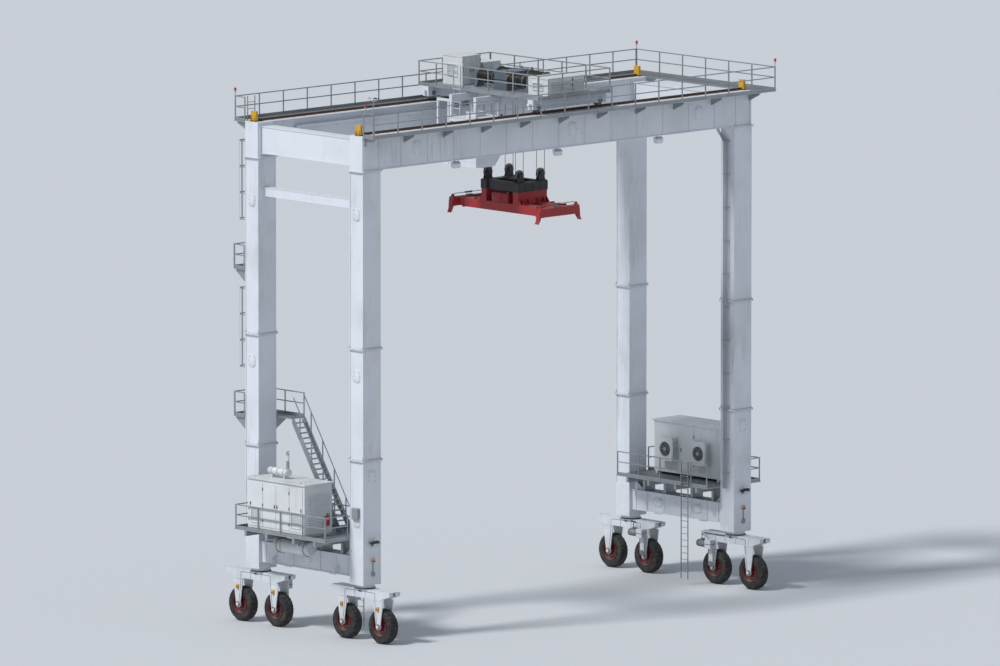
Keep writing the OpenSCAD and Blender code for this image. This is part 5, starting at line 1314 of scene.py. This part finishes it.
# The dish is r = R cos^0.15 t, y = end + 0.10 sin t: flat in the middle, with a tight knuckle at its rim
t = np.linspace(0, math.pi / 2, 13)
dish = np.stack([(TANK_R + 0.003) * np.cos(t) ** 0.15, TANK_HALF - 0.075 + 0.10 * np.sin(t)], -1)
dish[-1, 0] = 0.0
seam = facing(lathe([[0.325, -0.008], [0.337, -0.003], [0.337, 0.003], [0.325, 0.008]], 48), Y_AXIS)
neck = facing(lathe([[0.0, 0], [0.05, 0], [0.05, 0.10], [0.065, 0.10], [0.065, 0.15], [0.0, 0.15]], 28),
              (-0.94, 0, 0.34)).moved((-0.29, -0.62, 0.12))
shell = [facing(lathe(np.concatenate([dish[::-1] * (1, -1), dish]), 48), Y_AXIS), neck,
         seam.copies([(0, y, 0) for y in (-1.06, 0.0, 1.06)])]
a = np.linspace(math.pi, TURN, 25)
strap = (TANK_R + 0.010) * np.stack([np.cos(a), 0 * a, np.sin(a)], -1)
metal = [carried([[-0.04, -0.005], [0.04, -0.005], [0.04, 0.005], [-0.04, 0.005]], strap + (0, y, 0), Y_AXIS)
         for y in STRAP_YS]
metal += [rod((-0.36, 0.62, -0.22), (-0.36, 0.62, 0.22), 0.012), rod((0, 0.7, -0.32), (0, 0.7, -0.40), 0.022),
          slab((-0.05, 0.66, -0.39), (0.02, 0.74, -0.36))]
metal += [rod((-0.36, 0.62, z), (-0.25, 0.62, z), 0.016) for z in (-0.2, 0.2)]
heads = [bolts(STRAP_NUT, [(side * 0.338, y + v, w) for y in STRAP_YS for v, w in
                             ((-0.02, 0.05), (0.02, 0.05), (0, 0.12))], (side, 0, 0)) for side in BOTH]
made_all("gantry", ("tank_straps", metal, ZINC), ("tank_strap_bolts", heads, BOLT),
         ("tank_shell", shell, CREAM), place=TANK_PLACE)


# Bumpers, forks and travel drives, first with the bogie's middle at x = 0, y = 0
BUFFER = [[0.0, 0.0], [0.086, 0.0], [0.092, 0.02], [0.084, 0.045], [0.092, 0.07], [0.084, 0.095],
          [0.074, 0.116], [0.05, 0.1195], [0.0, 0.1195]]
BEAM_END = 1.955
AXLE_Y = 1.2
CASE_Z = 1.46
for end, side in CORNERS:
    body = f"bogie_{end}_{side}"
    s, e = SIDES[side], ENDS[end]
    top = corners(body)[1][2] - 0.06
    buffer_z, fork_top = top - 0.09, top - 0.40
    axle_z = wheel_middle(end, side, 1)[2]
    rubbers, trim, heads, grease, fork_heads = [], [], [], [], []
    for way in BOTH:
        rubbers.append(facing(lathe(BUFFER, 32), (0, way, 0)).moved((0, way * BEAM_END, buffer_z)))
        trim.append(block((0, way * BEAM_END, buffer_z), (0.16, 0.012, 0.085), 0.004))
        trim += [slab((u * FORK_OUT, way * y - 0.008, top - 0.39), (u * out, way * y + 0.008, top - 0.01))
                 for u in BOTH for y, out in ((0.35, 0.365), (AXLE_Y, 0.352))]
        trim += [slab((u - 0.006, way * 1.455, top - 0.172), (u + 0.006, way * 1.9, top - 0.02))
                 for u in (-0.30, 0.30)]
        heads.append(bolts(M16, [(u, way * (BEAM_END + 0.012), buffer_z + v) for u in (-0.13, 0.13)
                                          for v in (-0.055, 0.055)], (0, way, 0)))
        x = way * (FORK_OUT + 0.008)
        grease.append(block((way * 0.355, 0, fork_top + 0.30), (0.017, 0.05, 0.03), 0.004))
        grease += [pipe([(x, axle * 0.04, fork_top + 0.30), (x, axle, fork_top + 0.30),
                         (x, axle, fork_top - 0.12), (x, axle * 1.12, axle_z + 0.11)], 0.006, 0.06, 6)
                   for axle in BOTH]
        fork_heads.append(bolts(LOW_M20, [(way * FORK_OUT, axle * AXLE_Y + v, fork_top - 0.055)
                                               for axle in BOTH for v in (-0.26, -0.09, 0.09, 0.26)],
                                (way, 0, 0)))

    # Drive, on the inner side of the outer fork: gearbox with its ribs, motor above, chain case below
    drive_y, inner, inward = -e * AXLE_Y, -s * FORK_OUT, (-s, 0, 0)
    gear_z, motor_z = fork_top - 0.135, fork_top - 0.132
    case_x = inner - s * 0.11
    drive = [facing(motor_form(0.160, 0.54), Y_AXIS).turned(Y_AXIS, math.pi)
             .moved((inner - s * 0.1815, drive_y + 0.195, motor_z)),
             block((inner - s * 0.1725, drive_y, gear_z), (0.1725, 0.205, 0.012)),
             laid(border_form(0.30, 1.12, 0.03, 0.012, 0.10), (case_x, drive_y, CASE_Z), (0, -s, 0)),
             facing(cap_form(0.13, 0.03), inward).moved((case_x, drive_y, 0.98))]
    drive += [block((inner - s * u, drive_y, gear_z + 0.01), (0.007, 0.20, 0.18)) for u in (0.08, 0.17, 0.26)]
    heads.append(bolts(M16, [(inner - s * u, drive_y + v, gear_z + 0.012)
                                      for u in (0.05, 0.125, 0.215, 0.30) for v in (-0.198, 0.198)]))
    heads.append(bolts(M10, [(inner - s * 0.122, drive_y + u, CASE_Z + v)
                                      for u in (-0.15, 0.15) for v in np.linspace(-0.45, 0.35, 6)], inward))
    lead_x, lead_y = inner - s * 0.20, drive_y + 0.48
    lead = pipe([(lead_x, lead_y, motor_z + 0.19), (lead_x, lead_y, top - 0.10),
                 (inner - s * 0.03, lead_y, top - 0.06), (inner - s * 0.02, -e * 0.35, top - 0.06)],
                0.018, 0.07, 8)
    made_all(body, ("bogie_bumpers", rubbers, RUBBER), ("bogie_trim", trim, WHITE),
             ("travel_motor", drive, BLUE_GREY), ("bogie_heads", heads, BOLT),
             ("fork_bolts", fork_heads, BOLT), ("grease_lines", grease, CABLE), ("motor_lead", lead, CABLE),
             place=(s * LEG_X, e * LEG_Y, 0), tag=f"_{end}_{side}")


# Lamps, boxes and safety gear
def beacon_form():
    """Beacon lens on z = 0: a ribbed dome, r = R (1 - 0.03 |cos 20 a|) below its rounded crown."""
    q = np.radians(np.linspace(0, 90, 6))
    dome = np.stack([0.055 * np.cos(q), 0.085 + 0.045 * np.sin(q)], -1)
    return lathe(np.concatenate([[[0.0, 0.0], [0.055, 0.0]], dome]), 60,
                 lambda a, r, h: (r * (1 - 0.03 * np.abs(np.cos(20 * a))), h))


FLOOD_Z, FLOOD_OUT, FLOOD_TIP = 4.5, 0.24, 0.95
BEACON_Z, BEACON_OUT, LEAD_X = 3.70, 0.12, 0.04
CABINET_Z, SMALL_BOX_Z, LEAD_BOX_Z, STOP_BUTTON_Z = 5.9, 6.6, 3.12, 1.62
foot, beacon_lens = cap_form(0.062, 0.05), beacon_form().moved((0, 0, 0.05))
flood = lamp_form(0.34, 0.24, 0.13).turned(X_AXIS, FLOOD_TIP)
flood_lens = slab((-0.155, -0.105, 0), (0.155, 0.105, 0.008)).turned(X_AXIS, FLOOD_TIP)
flood_bracket = joined(slab((-0.19, 0.02, 0), (0.19, 0.10, 0.016)),
                       slab((-0.03, 0.04, 0), (0.03, 0.08, 0.20)))
cabinet = joined(slab((-0.20, -0.26, 0), (0.20, 0.26, 0.16), 0.012),
                 slab((-0.18, -0.24, 0.155), (0.18, 0.24, 0.172)))
small_box = slab((-0.15, -0.20, 0), (0.15, 0.20, 0.14), 0.012)
lead_box = slab((-0.08, -0.10, 0), (0.08, 0.10, 0.09), 0.01)
boxes, feet, amber, brackets, lamps, lenses, leads = [], [], [], [], [], [], []
for way, end in QUADS:
    x, face_y, across = way * LEG_X, end * (LEG_Y + LEG_HALF_Y), (-end, 0, 0)
    box, level = (cabinet, CABINET_Z) if way * end > 0 else (small_box, SMALL_BOX_Z)
    boxes.append(laid(box, (way * (LEG_X + LEG_HALF_X - WEB_IN), end * LEG_Y, level), (0, way, 0)))
    if way > 0 or end < 0:
        spot = (x, face_y + end * FLOOD_OUT, FLOOD_Z)
        lamps.append(laid(flood, spot, across))
        lenses.append(laid(flood_lens, spot, across))
        brackets.append(laid(flood_bracket, (x, face_y, FLOOD_Z), across))
    beacon = (x, face_y + end * BEACON_OUT, BEACON_Z)
    brackets.append(slab((x - 0.07, face_y, BEACON_Z - 0.02), (x + 0.07, face_y + end * 0.19, BEACON_Z),
                         0.004))
    feet.append(foot.moved(beacon))
    amber.append(beacon_lens.moved(beacon))
    leads.append(pipe([(x + LEAD_X, face_y + end * out, z)
                       for out, z in ((0.05, 3.69), (0.02, 3.55), (0.02, 3.2))], 0.012, 0.05, 8))
    boxes.append(laid(lead_box, (x + LEAD_X, face_y, LEAD_BOX_Z), across))
made_all("gantry", ("leg_junction_boxes", boxes, PLASTIC), ("leg_lamps", lamps, DARK),
         ("leg_lamp_lenses", lenses, LENS), ("leg_brackets", brackets, ZINC), ("beacon_bases", feet, DARK),
         ("beacon_lenses", amber, AMBER), ("beacon_leads", leads, CABLE))

stop_box = joined(slab((-0.06, -0.09, 0), (0.06, 0.09, 0.075), 0.01),
                  slab((-0.075, -0.105, 0), (0.075, 0.105, 0.006)))
stop_knob = joined(cap_form(0.030, 0.035, 0.010).moved((0, 0, 0.02)), cap_form(0.014, 0.03, 0.004))
for end, side in CORNERS:
    s, e = SIDES[side], ENDS[end]
    spots = [(s * (LEG_X + FORK_OUT), e * LEG_Y + way * AXLE_Y, STOP_BUTTON_Z) for way in BOTH]
    stops, knobs = [[laid(form, spot, (0, s, 0)) for spot in spots]
                    for form in (stop_box, stop_knob.moved((0, 0, 0.075)))]
    made_all(f"bogie_{end}_{side}", ("stop_boxes", stops, YELLOW), ("stop_buttons", knobs, SIGNAL),
             tag=f"_{end}_{side}")

RAIL_END, STOP_T, STOP_W, STOP_H, SKIN = 12.035, 0.12, 0.32, 0.48, 0.003
skins, heads = [], []
for way, end in QUADS:
    outer, y = way * (RAIL_END + STOP_T), end * LEG_Y
    skins.append(slab((way * (RAIL_END - SKIN), y - STOP_W / 2 - SKIN, GIRDER_TOP + 0.05),
                      (outer + way * SKIN, y + STOP_W / 2 + SKIN, GIRDER_TOP + STOP_H + SKIN)))
    skins += [plate([(0, 0), (0.13, 0), (0, 0.30)], 0.012, (outer, y + v, GIRDER_TOP), (way, 0, 0))
              for v in (-0.11, 0.11)]
    heads += [(outer + way * 0.05, y + v, GIRDER_TOP) for v in (-0.15, -0.05, 0.05, 0.15)]
made_all("gantry", ("rail_stop_skins", skins, YELLOW), ("rail_stop_bolts", bolts(LOW_M20, heads), BOLT))

# Fire extinguishers, each first with its foot at the origin: bottle, valve with its hose, shelf and band
bottle = lathe([[0.0, 0.0], [0.075, 0.0], [0.083, 0.012], [0.083, 0.40], [0.070, 0.45], [0.030, 0.48],
                [0.018, 0.50], [0.018, 0.53], [0.0, 0.53]], 28)
valve = joined(slab((-0.02, -0.05, 0.52), (0.02, 0.06, 0.55), 0.005),
               pipe([(0, -0.02, 0.52), (0.10, -0.02, 0.51), (0.105, -0.02, 0.10)], 0.009, 0.05, 8))
cradle = joined(slab((-0.07, 0, -0.02), (0.07, 0.14, 0), 0.004), tube(0.083, 0.087, 0.27, 0.30))
spots = [(genset_x + 0.45, genset_y - genset_half_y - 0.14, HOUSE_BASE + 0.35),
         (electric_x - 0.45, electric_half_y + 0.14, HOUSE_BASE + 0.35)]
cradles = [cradle.mirrored((1, inward, 1)).moved(spot) for spot, inward in zip(spots, (1, -1))]
made_all("gantry", ("fire_extinguishers", bottle.copies(spots), SIGNAL),
         ("extinguisher_valves", valve.copies(spots), RUBBER), ("extinguisher_cradles", cradles, ZINC))

# Wind mast, first with its foot at x = 0, y = 0: cups and vane on the ends of the cross bar
MAST_X, MAST_Y, MAST_TOP, BAR_Z, BAR_HALF = -12.255, -4.62, 25.05, 24.9, 0.22
CUPS_Z, VANE_Z = 25.03, 25.02
mast = [rod((0, 0, GIRDER_TOP), (0, 0, MAST_TOP), 0.024),
        rod((0, -BAR_HALF, BAR_Z), (0, BAR_HALF, BAR_Z), 0.014, 10),
        rod((0, -BAR_HALF, BAR_Z), (0, -BAR_HALF, CUPS_Z), 0.008),
        rod((0, BAR_HALF, BAR_Z), (0, BAR_HALF, VANE_Z), 0.008)]
cup = lathe([[0.0, -0.004], [0.030, 0.012], [0.042, 0.045], [0.038, 0.045], [0.027, 0.016], [0.0, 0.002]], 20)
arm = joined(cup.turned(X_AXIS, math.pi / 2).moved((0.085, 0, 0)), rod((0, 0, 0), (0.085, 0, 0), 0.005, 8))
cups = [arm.turned(Z_AXIS, k * TURN / 3).moved((0, -BAR_HALF, CUPS_Z)) for k in range(3)]
vane = [(-0.16, 0), (-0.05, 0.02), (0.05, 0.005), (0.12, 0.0), (0.05, -0.005), (-0.05, -0.02)]
cups.append(plate(vane, 0.004, (0, BAR_HALF, VANE_Z)))
made_all("gantry", ("wind_mast", mast, ZINC), ("wind_cups", cups, RUBBER), place=(MAST_X, MAST_Y, 0))

LIGHT_Z = 24.50
lights = [(MAST_X, -MAST_Y, LIGHT_Z), (13.135, MAST_Y, LIGHT_Z), (13.135, -MAST_Y, LIGHT_Z),
          (MAST_X, -4.10, LIGHT_Z)]
post = joined(rod((0, 0, -0.22), (0, 0, 0.02), 0.018), foot)
made("obstruction_posts", post.copies(lights), ZINC)
made("obstruction_lenses", beacon_lens.copies(lights), SIGNAL)
tow = [slab((-0.26, 3.20, 23.46), (-0.14, 3.325, 23.62), 0.008),
       slab((-0.23, 2.93, 23.50), (-0.17, 3.25, 23.56)), slab((-0.23, 2.93, 22.92), (-0.17, 2.98, 23.56))]
made("tow_arm", joined(*tow).moved(here), YELLOW, "trolley")


# Floor, light and camera
REACH = 3000.0
floor_mesh = bpy.data.meshes.new("floor")
floor_mesh.from_pydata([(-REACH, -REACH, 0), (REACH, -REACH, 0), (REACH, REACH, 0), (-REACH, REACH, 0)],
                       [], [(0, 1, 2, 3)])
floor = bpy.data.objects.new("floor", floor_mesh)
bpy.context.scene.collection.objects.link(floor)
floor_mesh.materials.append(Finish("floor_grey", "#c6c8ca", 0.9).done())

world = bpy.data.worlds.new("sky")
bpy.context.scene.world = world
world.use_nodes = True
world.node_tree.nodes["Background"].inputs[0].default_value = to_linear("#cfd8e6")
world.node_tree.nodes["Background"].inputs[1].default_value = 0.62

sun_data = bpy.data.lights.new("sun", "SUN")
sun_data.energy = 2.6
sun_data.angle = math.radians(10)
sun = bpy.data.objects.new("sun", sun_data)
sun.rotation_mode = "QUATERNION"
sun.rotation_quaternion = Vector((-0.75, 0.15, 0.95)).to_track_quat("Z", "Y")
bpy.context.scene.collection.objects.link(sun)

CAMERA_TURN = math.radians(-43.4)
CAMERA_RISE = math.radians(8.0)
CAMERA_AWAY = 800.0
FRAME_WIDTH = 46.0
centre = Vector((0.0, 0.0, (cad_low[2] + cad_high[2]) / 2))
back = Vector((math.sin(CAMERA_TURN) * math.cos(CAMERA_RISE),
               -math.cos(CAMERA_TURN) * math.cos(CAMERA_RISE), math.sin(CAMERA_RISE)))
camera_data = bpy.data.cameras.new("camera")
camera_data.sensor_width = 36.0
camera_data.lens = camera_data.sensor_width * CAMERA_AWAY / FRAME_WIDTH
camera_data.clip_start = 10.0
camera_data.clip_end = 6000.0
camera = bpy.data.objects.new("camera", camera_data)
camera.location = centre + back * CAMERA_AWAY
camera.rotation_mode = "QUATERNION"
camera.rotation_quaternion = (-back).to_track_quat("-Z", "Y")
bpy.context.scene.collection.objects.link(camera)
bpy.context.scene.camera = camera

bpy.context.scene.view_settings.view_transform = "Standard"
